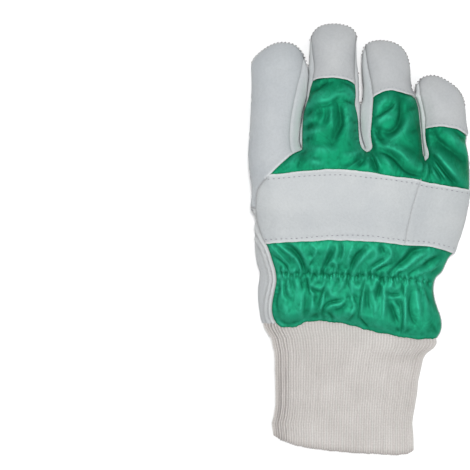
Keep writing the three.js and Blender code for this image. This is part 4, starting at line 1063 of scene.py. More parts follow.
def folds(table, pts, pinched=False):
    """Height of the folds at points of the plan, and the shade painted into their valleys and the highlight painted on
    their crests.
    """
    h, shade, light = np.zeros(len(pts)), np.zeros(len(pts)), np.zeros(len(pts))
    pinch = 0.5 + 0.5 * smooth(0.5, 7.0, np.abs(pts[:, 1] - elastic(pts[:, 0]))) if pinched else np.ones(len(pts))
    for k, (w, height, run_) in enumerate(table):
        path = through(photo(run_), 0.8) if len(run_) > 2 else photo(run_)
        under = pinched and path[:, 1].mean() < elastic(path[:, 0].mean())
        broad = 0.6 * w + 1.6 if under else 1.25 * w
        reach = 3.2 * max(w, broad if height > 0 else 0) * PX
        lo, hi = path.min(0) - reach, path.max(0) + reach
        near = np.nonzero(((pts > lo) & (pts < hi)).all(1))[0]
        q = pts[near]
        seg = np.linalg.norm(np.diff(path, axis=0), axis=1)
        start = np.concatenate([[0], np.cumsum(seg)])
        best, at, hand = np.full(len(q), 1e9), np.zeros(len(q)), np.zeros(len(q))
        for i in range(len(path) - 1):
            ab = path[i + 1] - path[i]
            t = np.clip(((q - path[i]) @ ab) / (ab @ ab), 0, 1)
            d = np.linalg.norm(q - path[i] - t[:, None] * ab, axis=1)
            hit = d < best
            best[hit], at[hit] = d[hit], (start[i] + t * seg[i])[hit]
            hand[hit] = np.sign(ab[0] * (q[:, 1] - path[i, 1]) - ab[1] * (q[:, 0] - path[i, 0]))[hit]
        t = at / start[-1]
        s = best / (w * PX * pinch[near])
        ends = 0.45 + 0.55 * smooth(0, 0.3, t) * smooth(0, 0.3, 1 - t)
        steep = hand * (1 if k * 5 % 7 < 3 else -1) > 0
        lean = smooth(0, 0.18, t) * smooth(0, 0.18, 1 - t) * float(smooth(0.9, 1.8, w))
        s = s * mix(1.0, np.where(steep, 1.38, 0.86), lean)
        if height > 0:
            h[near] += 0.8 * (1.25 * w / broad) ** 0.5 * height * ends * np.exp(-((s * w / broad) ** 2))
            painted_crest_highlight = min(1, 0.3 + height / 1.8) * ends * np.exp(-((s * w * 1.3 / broad) ** 2))
            light[near] = 1 - (1 - light[near]) * (1 - (0.75 if under else 0.95) * painted_crest_highlight)
        else:
            h[near] += height * min(1, 0.25 + w / 3.0) * ends * np.exp(-np.abs(s) ** 1.5)
            sharp = 1.35 if w < 1.4 else 1.0
            # the shade painted in a wide valley is even, with a clear edge
            flat = 2 + 1.6 * float(smooth(1.5, 3.0, w))  # a wide valley is evenly dark, with a clear edge
            flat = mix(flat, np.where(steep, 4.0, 1.9), lean)
            shade[near] = 1 - (1 - shade[near]) * (1 - min(1, 0.2 - height / 2.2) * ends * np.exp(-((s * sharp) ** flat)))
    return h, shade, light


def edges_of(faces):
    e = np.concatenate([faces[:, [0, 1]], faces[:, [1, 2]], faces[:, [2, 0]]])
    e.sort(axis=1)
    return np.unique(e, axis=0)


def drape(base, start, nrm, faces, held, grow, steps, low, high, bend=0.035):
    """Cloth solver: the cloth is a little larger than the place that it is sewn into, so it buckles.
    base and nrm are the padded glove under it, held are the sewn points, grow says how much longer each edge wants to be."""
    used, inv = np.unique(faces, return_inverse=True)
    f = inv.reshape(faces.shape)
    e = edges_of(f)
    b, n, free = base[used], nrm[used], ~held[used]
    p = start[used].copy()
    shape = start[used]
    rest = np.linalg.norm(b[e[:, 0]] - b[e[:, 1]], axis=1)
    rest = np.maximum(rest * (1 + grow(b[e].mean(1), b[e[:, 1]] - b[e[:, 0]])), 0.985 * np.linalg.norm(p[e[:, 0]] - p[e[:, 1]], axis=1))
    count = np.bincount(e.ravel(), minlength=len(used)).astype(float)
    lo, hi = low[used], high[used]
    i, j = e[:, 0], e[:, 1]
    ones = np.concatenate([i, j])
    for step in range(steps):
        d = p[j] - p[i]
        length = np.linalg.norm(d, axis=1)
        c = d * ((length - rest) / np.maximum(length, 1e-9) * 0.5)[:, None]
        move = np.stack([np.bincount(ones, np.concatenate([c[:, k], -c[:, k]]), minlength=len(used)) for k in range(3)], 1)
        p[free] += 1.5 * (move / count[:, None])[free]
        # stiffness against sharp bends
        off = p - shape
        near = np.stack([np.bincount(ones, np.concatenate([off[j, k], off[i, k]]), minlength=len(used)) for k in range(3)], 1) / count[:, None]
        p[free] += bend * (near - off)[free]
        # the padding keeps it from sinking in, the thread from lifting off
        off = p - b
        h = (off * n).sum(1)
        fix = np.clip(h, lo, hi) - h
        p[free] += (n * fix[:, None])[free] * 0.6
    for _ in range(2):  # satin has no creases finer than this
        near = np.stack([np.bincount(ones, np.concatenate([p[j, k], p[i, k]]), minlength=len(used)) for k in range(3)], 1) / count[:, None]
        p[free] += 0.45 * (near - p)[free]
    out = start.copy()
    out[used] = p
    return out


def cloth_piece(name, table, under_lines, grow, seeds, puckers, steps, bend):
    """A green panel: its region of the back and what goes on under its neighbours."""
    region = NAMES == name
    lap_faces = IS_TOP & ~region
    fc = XY[FACES].mean(1)
    near_lap = Near([S[k] for k in under_lines])
    cand = np.nonzero(lap_faces)[0]
    close = cand[near_lap(fc[cand]) < UNDERLAP]
    allowed = {"back_upper": ("tip_middle", "tip_ring", "tip_little", "knuckle_band", "knuckle_band_side"),
               "back_lower": ("knuckle_band", "knuckle_band_side")}[name]
    close = close[np.isin(NAMES[close], allowed)]
    own = np.unique(FACES[region])
    is_own = np.zeros(len(P), bool)
    is_own[own] = True
    ext = np.unique(FACES[close])
    is_ext = np.zeros(len(P), bool)
    is_ext[ext] = True
    lap_d = np.full(len(P), 40.0)
    lap_d[:n_top] = near_lap(XY[:n_top])
    faces = np.concatenate([FACES[region], FACES[close]])
    # distance to where the panel is sewn, from inside
    e = np.concatenate([FACES[region][:, [0, 1]], FACES[region][:, [1, 2]], FACES[region][:, [2, 0]]])
    key = {tuple(x) for x in e}
    rim = np.array([x for x in key if (x[1], x[0]) not in key])
    rim_pts = np.unique(rim)
    tree = KDTree(len(rim_pts))
    for i, v in enumerate(rim_pts):
        tree.insert(P[v], i)
    tree.balance()
    sewn = np.zeros(len(P))
    sewn[own] = [tree.find(P[v])[2] for v in own]
    hem = D_HEM < 0.05
    fade = smooth(0.0, 3.0, sewn)
    puff = 0.9 * smooth(0, 7, sewn)
    pinched = name == "back_lower"
    big, shade, light = folds(table, XY, pinched)
    if pinched:
        by_elastic = np.exp(-(((XY[:, 1] - elastic(XY[:, 0])) / 5.0) ** 2))
        fine = (noise(XY, 1.5, 77, (1, 2.6), 0.30) + noise(XY, 1.7, 78, (1, 2.2), -0.35)) * by_elastic
        big = 0.85 * big + gathers(XY) + 0.13 * fine
        # shade and highlights painted along the fine creases by the elastic
        shade = np.maximum(shade, np.clip(-1.1 * fine - 0.25, 0, 0.7))
        light = np.maximum(light, np.clip(1.1 * fine - 0.25, 0, 0.7))
    # small crumples all over, where nothing bigger is, with shade painted in their hollows and highlights on their tops
    crumple = 0.62 * noise(XY, 2.5, 87, (1, 2.1), 0.5) + 0.62 * noise(XY, 1.9, 88, (1, 1.8), -0.7)
    big = big + 0.10 * crumple
    shade = np.maximum(shade, np.clip(-0.95 * crumple - 0.40, 0, 0.36))
    light = np.maximum(light, np.clip(0.95 * crumple - 0.42, 0, 0.42))
    big = big * fade * (0.45 + 0.55 * smooth(0, 5, D_SIDE))
    for k, pitch, tall in puckers:
        wave = np.cos(2 * np.pi * ALONG[k] / pitch + 1.3 * np.sin(ALONG[k] * 0.31)) * (0.6 + 0.4 * np.sin(ALONG[k] * 0.17 + 2))
        big = big + tall * wave * np.exp(-DIST[k] / 2.0) * smooth(0.0, 1.0, sewn) * (DIST[k] < 12)
        # shade and highlights painted in notches along the seams
        notch = np.cos(2 * np.pi * ALONG[k] / (1.7 * pitch) + 2.1 * np.sin(ALONG[k] * 0.23) + 1) * (0.65 + 0.35 * np.sin(ALONG[k] * 0.41))
        close_by = np.exp(-((DIST[k] / 1.9) ** 2))
        shade = np.maximum(shade, min(0.7, 1.9 * tall) * np.clip(-notch, 0, 1) ** 2 * close_by)
        light = np.maximum(light, min(0.5, 1.3 * tall) * np.clip(notch, 0, 1) ** 2 * close_by)
    small = sum(a * noise(XY, s, seed, stretch=st, turn=tn) for s, a, seed, st, tn in seeds) * fade
    base = P + N * (-0.35 - 0.75 * smooth(0.0, 1.2, np.where(is_own, 0, lap_d)))[:, None]
    lift = np.where(is_own, puff + big + small, 0)
    start = base + N * lift[:, None]
    held = ~is_own | (sewn < 0.02)
    lo = np.where(is_own, np.minimum(big, 0) - 0.6, 0)
    hi = np.where(is_own, puff + 1.2 + np.maximum(big, 0), 0)
    out = drape(base, start, N, FACES[region], held, grow, steps, lo, hi, bend)
    return out, faces, sewn, shade, light


def grow_upper(mid, d):
    L = np.linalg.norm(d[:, :2], axis=1) + 1e-9
    ex, ey = np.abs(d[:, 0]) / L, np.abs(d[:, 1]) / L
    crotch = np.exp(-((mid[:, 1] - 45) / 9) ** 2)
    return 0.012 * ex + 0.010 * ey + 0.03 * crotch * ex


def grow_lower(mid, d):
    L = np.linalg.norm(d[:, :2], axis=1) + 1e-9
    ex, ey = np.abs(d[:, 0]) / L, np.abs(d[:, 1]) / L
    e = np.exp(-((mid[:, 1] - elastic(mid[:, 0])) / 5) ** 2)
    return (0.02 + 0.05 * e) * ex + 0.01 * ey


PIECES = {}


def finish_piece(ob, node_name):
    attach(ob, "root")
    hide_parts(node_name)
    PIECES[node_name] = ob


# upper green panel
STEPS = 150
UP_SEEDS = [(7.0, 0.22, 11, (1, 1.4), 0.5), (3.4, 0.10, 12, (1, 1.2), -0.4), (1.9, 0.045, 13, (1, 2.0), 0.9)]
UP_PUCKERS = [("middle_left", 3.1, 0.42), ("middle_right", 3.1, 0.42), ("ring_left", 3.3, 0.35), ("little_left", 3.1, 0.35), ("cap_middle", 2.6, 0.30), ("cap_ring", 2.6, 0.25),
              ("cap_little", 2.4, 0.25), ("band_top", 3.2, 0.25)]
up_pos, up_faces, up_sewn, up_shade, up_light = cloth_piece("back_upper", UPPER_FOLDS, ["cap_middle", "cap_ring", "cap_little", "band_top"], grow_upper, UP_SEEDS, UP_PUCKERS, STEPS, 0.06)
# lower green panel, with its elastic
low_seeds = [(3.2, 0.14, 21, (1, 2.6), 0.0), (1.9, 0.06, 22, (1, 1.5), 0.2)]
LOW_PUCKERS = [("band_bottom", 3.2, 0.30), ("side", 2.6, 0.30)]
elastic_y = elastic(XY[:, 0])
low_pos, low_faces, low_sewn, low_shade, low_light = cloth_piece("back_lower", LOWER_FOLDS, ["band_bottom"], grow_lower, low_seeds, LOW_PUCKERS, STEPS, 0.045)
pit_up, _ = pit_phase(XY)
pull = -((0.62 - 0.50 * pit_up) * np.exp(-((XY[:, 1] - elastic_y) / 0.8) ** 2) + 0.34 * np.exp(-((XY[:, 1] - elastic_y) / 4.0) ** 2)) * smooth(0, 3, low_sewn)
low_pos = low_pos + N * pull[:, None]
_, hem_along = near_hem(XY, along=True)
hem_wave = 0.17 * np.cos(2 * np.pi * hem_along / 3.3 + 1.9 * np.sin(hem_along * 0.21)) * (0.5 + 0.5 * np.sin(hem_along * 0.29 + 1)) + 0.26 * np.sin(hem_along * 0.58 + 1.1 * np.sin(hem_along * 0.13))
low_pos[:, 1] -= hem_wave * np.exp(-((D_HEM / 1.5) ** 2))


def fold_shade(pos, faces, own_normals):
    """How deep a point lies between its neighbours, for shade painted into the folds."""
    e = edges_of(faces)
    h = ((pos - P) * own_normals).sum(1)
    c = np.bincount(e.ravel(), minlength=len(P)).astype(float)
    avg = h.copy()
    for _ in range(14):
        s = np.bincount(e[:, 0], avg[e[:, 1]], minlength=len(P)) + np.bincount(e[:, 1], avg[e[:, 0]], minlength=len(P))
        avg = np.where(c > 0, mix(avg, s / np.maximum(c, 1), 0.8), avg)
    return np.clip((avg - h) / 0.9, 0, 1)


for name, pos, faces, sewn, painted, light in (("back_upper", up_pos, up_faces, up_sewn, up_shade, up_light), ("back_lower", low_pos, low_faces, low_sewn, low_shade, low_light)):
    nn = normals(pos, faces, len(P))
    shade = fold_shade(pos, faces, N)
    verts, polys, used, m = shell(pos, nn, faces, CLOTH_WALL)
    edge = np.exp(-(sewn / 0.9) ** 2)
    if name == "back_lower":
        off_line = XY[:, 1] - elastic_y
        # shade painted in the pits along the elastic, highlights on the puffs between them
        uneven = 0.62 + 0.38 * np.sin(XY[:, 0] * 0.47 + 1.7 * np.sin(XY[:, 0] * 0.15))
        pits = uneven * (1 - pit_up) ** 1.5 * np.exp(-((off_line / 0.85) ** 2)) * smooth(0.5, 2, sewn)
        painted = np.maximum(0.92 * painted, 0.95 * pits)
        light = np.maximum(light, 0.8 * pit_up**2 * np.exp(-(((np.abs(off_line) - 1.7) / 1.1) ** 2)) * smooth(0.5, 2, sewn))
    # light painted into the colour: paler towards the hem and the thumb side, and on the middle finger's sides
    if name == "back_lower":  # paler towards the hem and the thumb side, as in the photo
        plain_dark, plain_lit = 0.0, 0.33 + 0.30 * np.exp(-((DIST["side"] / 4.5) ** 2)) + 0.40 * np.exp(-((D_HEM / 4.5) ** 2)) * mix(1.0, 0.25, smooth(*photo([(345, 300), (375, 300)])[:, 0], XY[:, 0]))
    else:  # the sides of the middle finger are as light as its middle
        flank = 0.80 * np.exp(-((DIST["middle_left"] / 4.8) ** 2)) * smooth(*photo([(300, 98), (300, 108)])[:, 1], XY[:, 1])
        flank = np.maximum(flank, 0.62 * np.exp(-((DIST["middle_right"] / 4.8) ** 2)) * (XY[:, 0] < photo([(363, 120)])[0, 0]))
        plain_dark, plain_lit = 0.075 * (1 - flank), flank
    # painted shade of the folds and their valleys, darker at the sewn edge; plain_lit and light are painted light and
    # highlights
    dark = np.clip(plain_dark + 0.10 * shade + 0.55 * painted + 0.42 * edge, 0, 1)[used]
    lit = np.clip((plain_lit + 0.62 * light) * (1 - painted) * (1 - edge), 0, 1)[used]
    ob = make(name + "_cloth", verts, polys, GREEN, 60, {"seam": np.concatenate([dark, dark]), "lit": np.concatenate([lit, lit])})
    finish_piece(ob, name)
    PIECES[name + "_outer"] = (pos, faces)

# ---------------------------------------------------------------- leather pieces
BASE_WAVE = 0.30 * noise(XY, 17, 31) + 0.13 * noise(XY, 6.5, 32) + 0.04 * noise(XY, 2.8, 33)
MIDDLE_Z = np.mean(section(XY, np.full(len(XY), 40.0)), axis=0)  # height of the seam round the fingers
OFF_SEAM = np.where(D_SIDE < 5, np.abs(P[:, 2] - MIDDLE_Z), 40.0)


def round_end():
    """1 at the round end of a finger, 0 along its sides."""
    t = np.gradient(LATERAL, axis=0)
    t /= np.linalg.norm(t, axis=1)[:, None] + 1e-9
    up = np.abs(t[:, 0]) * (LATERAL[:, 1] > 60)
    for _ in range(4):
        up = np.convolve(np.pad(up, 1, mode="edge"), [0.25, 0.5, 0.25], "valid")
    tree = KDTree(len(LATERAL))
    for i, (x, y) in enumerate(LATERAL):
        tree.insert((x, y, 0), i)
    tree.balance()
    near = np.nonzero((D_SIDE < 5) & (XY[:, 1] > 45))[0]
    out = np.zeros(len(P))
    out[near] = up[[tree.find((x, y, 0))[1] for x, y in XY[near]]]
    return smooth(0.08, 0.4, out)


tips = round_end()
CUT_WAVE = 0.17 * noise(XY, 4.2, 61) + 0.07 * noise(XY, 1.7, 62)


def leather_piece(name, offset, seams, sharp=42, wall=LEATHER_WALL, material=None, label=None, edges=(), rim=None, cut=None, gap_painted_light=None):
    faces = faces_of(name)
    pos = P + N * offset[:, None]
    if cut is not None:
        pos[:, 1] += CUT_WAVE * np.exp(-((cut / 1.8) ** 2)) * smooth(0, 4, D_SIDE)
    nn = normals(pos, faces, len(P))
    verts, polys, used, m = shell(pos, nn, faces, wall)
    d = np.full(len(P), 40.0)
    for k in seams:
        d = np.minimum(d, k)
    hair = np.exp(-((OFF_SEAM / 0.9) ** 2)) * (1.0 if rim is None else rim) * (0.45 + 0.55 * tips)
    # darker round the seam at the finger tips, and shade painted along the top of the outline where the side falls away
    tip_rim_dark_and_painted_edge_shade = 0.42 * tips * np.exp(-((OFF_SEAM / 2.3) ** 2)) + 0.22 * np.exp(-((D_SIDE / 0.4) ** 2)) * TOPV
    dark = np.maximum(np.exp(-((d / 0.75) ** 2)), np.maximum(0.8 * hair, tip_rim_dark_and_painted_edge_shade * (1.0 if rim is None else 0.4 + 0.6 * rim)))[used]
    # a highlight painted along the edges that lie on a neighbour
    lit = np.zeros(len(P))
    for k in edges:
        lit = np.maximum(lit, 0.7 * np.exp(-(((k - 0.45) / 0.6) ** 2)))
    # light painted into the strips between the fingers
    if gap_painted_light is not None:
        lit = np.maximum(lit, gap_painted_light)
    lit = (lit * (1 - 0.8 * hair))[used]
    ob = make(label or name + "_leather", verts, polys, material or LEATHER, sharp, {"seam": np.concatenate([dark, dark]), "lit": np.concatenate([lit, lit * 0])})
    finish_piece(ob, name)
    PIECES[name + "_outer"] = (pos, faces)
    return ob


def lapped(d, rise=LAP, reach=7.0):
    """Height of a piece near the edge where it lies on its neighbour."""
    return rise * (1 - 0.85 * smooth(0, reach, d)) - 0.28 * np.exp(-((d / 0.3) ** 2))


WAVE = BASE_WAVE * smooth(0, 3, D_SIDE)
LOW_SIDE = smooth(2.5, -1.0, P[:, 2] - MIDDLE_Z)
for x1, x2, places in ((-70, -32, (88, 64, 44, 40)), (-32, 0, (104, 82, 58, 54)), (0, 33, (94, 72, 50)), (33, 70, (66, 46, 28, 24))):
    across = smooth(x1 - 1, x1 + 1, XY[:, 0]) * smooth(x2 + 1, x2 - 1, XY[:, 0])
    for y0 in places:
        off_line = XY[:, 1] - y0 - 1.4 * np.sin(XY[:, 0] * 0.21 + y0)
        WAVE = WAVE + across * LOW_SIDE * (0.22 * np.exp(-(((off_line - 2.2) / 1.6) ** 2)) - 0.5 * np.exp(-((off_line / 0.9) ** 2)) + 0.2 * np.exp(-(((off_line + 2.2) / 1.6) ** 2)))
scallop = (0.06 + 0.30 * tips) * np.cos(2 * np.pi * SIDE_ALONG / 2.2 + 1.1 * np.sin(SIDE_ALONG * 0.23)) * np.exp(-((OFF_SEAM / 1.3) ** 2))
side_groove = scallop + 0.12 * np.exp(-((OFF_SEAM / 0.6) ** 2)) - 0.25 * np.exp(-(((OFF_SEAM - 1.6) / 0.8) ** 2))
off = WAVE + side_groove + lapped(DIST["cap_middle"]) + groove(DIST["middle_left"], 0.6, 0.65) + groove(DIST["middle_right"], 0.5, 0.7)
leather_piece("tip_middle", off, [DIST["middle_left"] + 0.3, DIST["middle_right"] + 0.5], edges=[DIST["cap_middle"] + 0.5], material=LEATHER_TIP, cut=DIST["cap_middle"])
off = WAVE + side_groove + lapped(DIST["cap_ring"]) + groove(DIST["ring_left"], 0.6, 0.65)
leather_piece("tip_ring", off, [DIST["ring_left"] + 0.3], edges=[DIST["cap_ring"] + 0.5], material=LEATHER_TIP, cut=DIST["cap_ring"])
off = WAVE + side_groove + lapped(DIST["cap_little"]) + groove(DIST["little_left"], 0.6, 0.65)
leather_piece("tip_little", off, [DIST["little_left"] + 0.3], edges=[DIST["cap_little"] + 0.5], material=LEATHER_TIP, cut=DIST["cap_little"])

band_edge = np.minimum(DIST["band_top"], DIST["band_bottom"])
ripple = 0.10 * np.cos(2 * np.pi * XY[:, 0] / 3.47 + 0.8 * np.sin(XY[:, 0] * 0.3)) * np.exp(-(((band_edge - 2.6) / 1.6) ** 2))
band_in = lapped(band_edge, LAP, 9.0) + ripple - 0.16 * np.exp(-(((band_edge - 2.7) / 0.9) ** 2))
off = WAVE * 0.8 + band_in + groove(DIST["band_join"], 0.42, 0.6) + 0.16 * np.exp(-((DIST["band_join"] - 1.6) / 0.9) ** 2) + groove(DIST["side"], 0.7, 0.9)
leather_piece("knuckle_band", off, [DIST["band_join"] + 0.65, DIST["side"] + 0.3], material=LEATHER_B, edges=[DIST["band_top"], DIST["band_bottom"]], cut=band_edge)
off = WAVE * 0.8 + band_in + groove(DIST["band_join"], 0.42, 0.6) + side_groove
leather_piece("knuckle_band_side", off, [DIST["band_join"] + 0.65], material=LEATHER_B, edges=[DIST["band_top"], DIST["band_bottom"]], cut=band_edge)

strip_groove = groove(DIST["index_back"], 0.45, 0.7) + groove(np.minimum.reduce([DIST["middle_left"], DIST["middle_right"], DIST["ring_left"], DIST["little_left"]]), 0.5, 0.6)
under_groove = groove(DIST["under_strips"], 0.8, 0.9)
# the strips between the fingers, with light painted in towards the gaps
for name in ("fourchette_index_middle", "fourchette_middle_ring", "fourchette_ring_little"):
    off = 0.5 * WAVE + strip_groove + under_groove
    leather_piece(name, off, [DIST["index_back"] + 0.75, DIST["middle_left"] + 0.4, DIST["middle_right"] + 0.5, DIST["ring_left"] + 0.4, DIST["little_left"] + 0.4, DIST["under_strips"]], wall=1.1,
                  material=LEATHER_STRIP_PAINTED_LIGHT, gap_painted_light=0.85 * np.exp(-((D_SIDE / 2.6) ** 2)) * TOPV)

off = WAVE + groove(DIST["front_cut"], 1.0, 1.0) + under_groove + np.where(TOPV, 0, side_groove)
leather_piece("middle_ring_front", off, [DIST["front_cut"], DIST["under_strips"]])

seamed = np.maximum(smooth(98, 107, XY[:, 1]), smooth(-34, -28, XY[:, 0]))  # the palm's leather goes round the index finger's side in one piece, up to its tip
palm_edge = side_groove * seamed
off = WAVE + groove(DIST["front_cut"], 1.0, 1.0) + under_groove + palm_edge + groove(DIST["index_back"], 0.45, 0.7) + groove(DIST["side"], 0.8, 0.9) \
    + np.where(DIST["upper_left"] < 8, lapped(DIST["upper_left"], 0.7, 5.0), 0) + groove(DIST["notch"], 1.0, 1.0)
leather_piece("palm", off, [DIST["index_back"] + 0.75, DIST["side"] + 0.3, DIST["notch"], DIST["front_cut"], DIST["under_strips"]], edges=[DIST["upper_left"]], rim=seamed)


# ---------------------------------------------------------------- thumb: its wing up to the back, and the tube folded under the palm
def thumb_tube():
    ring = 72
    rows = []
    t = np.array(THUMB_ROWS)
    s = np.concatenate([[0], np.cumsum(np.hypot(*np.diff((t[:, :2] + t[:, 2:4]) / 2, axis=0).T))])
    levels = np.linspace(0, s[-1], 96)
    for L in levels:
        x1, y1, x2, y2, zb, zt = [np.interp(L, s, t[:, k]) for k in range(6)]
        a = 2 * np.pi * (np.arange(ring) + 0.5) / ring
        across, up = np.cos(a), np.sin(a)
        bend = lambda v: np.sign(v) * np.abs(v) ** (2 / 2.7)
        u = 0.5 + 0.5 * bend(across)
        rows.append(np.stack([mix(x1, x2, u), mix(y1, y2, u), (zb + zt) / 2 + (zt - zb) / 2 * bend(up)], 1))
    v = np.concatenate(rows)
    # fuller and softly creased
    n = len(levels)
    f = []
    for r in range(n - 1):
        for k in range(ring):
            a, b = r * ring + k, r * ring + (k + 1) % ring
            f.append((a, b, b + ring, a + ring))
    v = np.concatenate([v, [rows[0].mean(0)], [rows[-1].mean(0) + [0.3, 0.6, 0]]])
    for k in range(ring):
        f.append((n * ring, (k + 1) % ring, k))
        a, b = (n - 1) * ring + k, (n - 1) * ring + (k + 1) % ring
        f.append((n * ring + 1, a, b))
    v[:, 2] += 0.25 * noise(v[:, :2], 9, 41) * smooth(0.6, 3, v[:, 2])
    return v, f


def thumb_piece():
    faces = faces_of("thumb")
    ds = DIST["side"]
    ridge = 0.55 * np.exp(-((ds - 1.4) / 0.9) ** 2) + 0.4 * np.exp(-((ds - 4.0) / 0.8) ** 2) - 0.75 * np.exp(-((ds - 2.75) / 0.5) ** 2) - 0.55 * np.exp(-((ds - 5.2) / 0.55) ** 2)
    off = WAVE + groove(DIST["side"], 0.9, 0.9) + groove(DIST["notch"], 1.0, 1.0) + np.where(TOPV, ridge * smooth(0, 10, DIST["notch"]), 0)
    pos = P + N * off[:, None]
    nn = normals(pos, faces, len(P))
    verts, polys, used, m = shell(pos, nn, faces, LEATHER_WALL)
    d = np.minimum(DIST["side"], DIST["notch"])
    # shade painted in the grooves between the strip's ridges, and highlights painted on the ridges
    lines = 0.75 * np.exp(-(((ds - 2.75) / 0.5) ** 2)) + 0.55 * np.exp(-(((ds - 5.2) / 0.5) ** 2))
    painted_ridge_highlight = np.where(TOPV, 0.55 * np.exp(-(((ds - 1.3) / 0.7) ** 2)) + 0.35 * np.exp(-(((ds - 4.0) / 0.7) ** 2)), 0)[used]
    dark = np.maximum(np.exp(-((d / 0.75) ** 2)), lines * smooth(0, 8, DIST["notch"]))[used]
    tv, tf = thumb_tube()
    polys = list(polys) + [tuple(i + len(verts) for i in f) for f in tf]
    attr = np.concatenate([dark, dark, np.zeros(len(tv))])
    ob = make("thumb_leather", np.concatenate([verts, tv]), polys, LEATHER_T, 50, {"seam": attr, "lit": np.concatenate([painted_ridge_highlight, 0 * painted_ridge_highlight, np.zeros(len(tv))])})
    finish_piece(ob, "thumb")
    PIECES["thumb_outer"] = (pos, faces)


thumb_piece()

# ---------------------------------------------------------------- rib-knit cuff
CUFF_SIDES = [  # y, left, right in pixels
    (456, 273.2, 414.0), (446, 273.2, 414.0), (436, 273.0, 413.7), (424, 271.2, 412.6), (416, 273.6, 413.6), (406, 275.0, 415.5), (394, 275.1, 417.4), (382, 274.9, 418.4),
    (370, 274.4, 420.9), (360, 274.4, 423.0), (354.5, 274.0, 425.6), (352, 273.8, 428.4), (349, 273.0, 433.0), (345, 272.0, 436.4), (341, 271.2, 437.0), (338, 270.4, 435.6), (335, 268.4, 433.8),
    (331, 265.6, 432.2), (326, 262.8, 431.4), (310, 264.4, 430.0)]
CUFF_PLAIN = [  # the same sides without the flares: the ribs in the middle keep to these
    (456, 273.2, 414.0), (406, 274.6, 415.5), (394, 274.8, 417.4), (382, 274.8, 418.4), (370, 274.4, 420.9), (360, 274.4, 423.0), (354.5, 274.2, 424.6), (345, 273.6, 427.0),
    (335, 272.4, 429.2), (326, 271.0, 430.6), (310, 270.0, 431.5)]
CUFF_MOUTH = [(273, 434.4), (278.5, 438.2), (285, 440.9), (295, 444.0), (312, 446.9), (330, 449.4), (350, 451.0), (375, 452.6), (395, 454.0), (406, 452.8), (412.8, 450.0)]
RIBS = 118
RIB_POINTS = 5
CUFF_ROWS = 58
CUFF_WALL = 2.4
CUFF_FOLDS = [  # share of the width, half width, depth mm, reach from the hem 0..1
    (0.035, 0.012, -1.6, 1.0), (0.075, 0.014, -1.3, 0.95), (0.12, 0.02, -0.7, 0.7), (0.055, 0.012, 0.9, 1.0), (0.26, 0.03, -0.45, 0.5), (0.62, 0.03, -0.5, 0.6),
    (0.86, 0.02, -0.7, 0.6), (0.94, 0.02, -1.0, 0.8), (0.45, 0.05, 0.4, 0.8)]

CUFF_CREASE = Near([line([(364, 348), (372, 351.5), (382, 356), (393, 358.6), (408, 357.4), (420, 354), (428, 350)])])


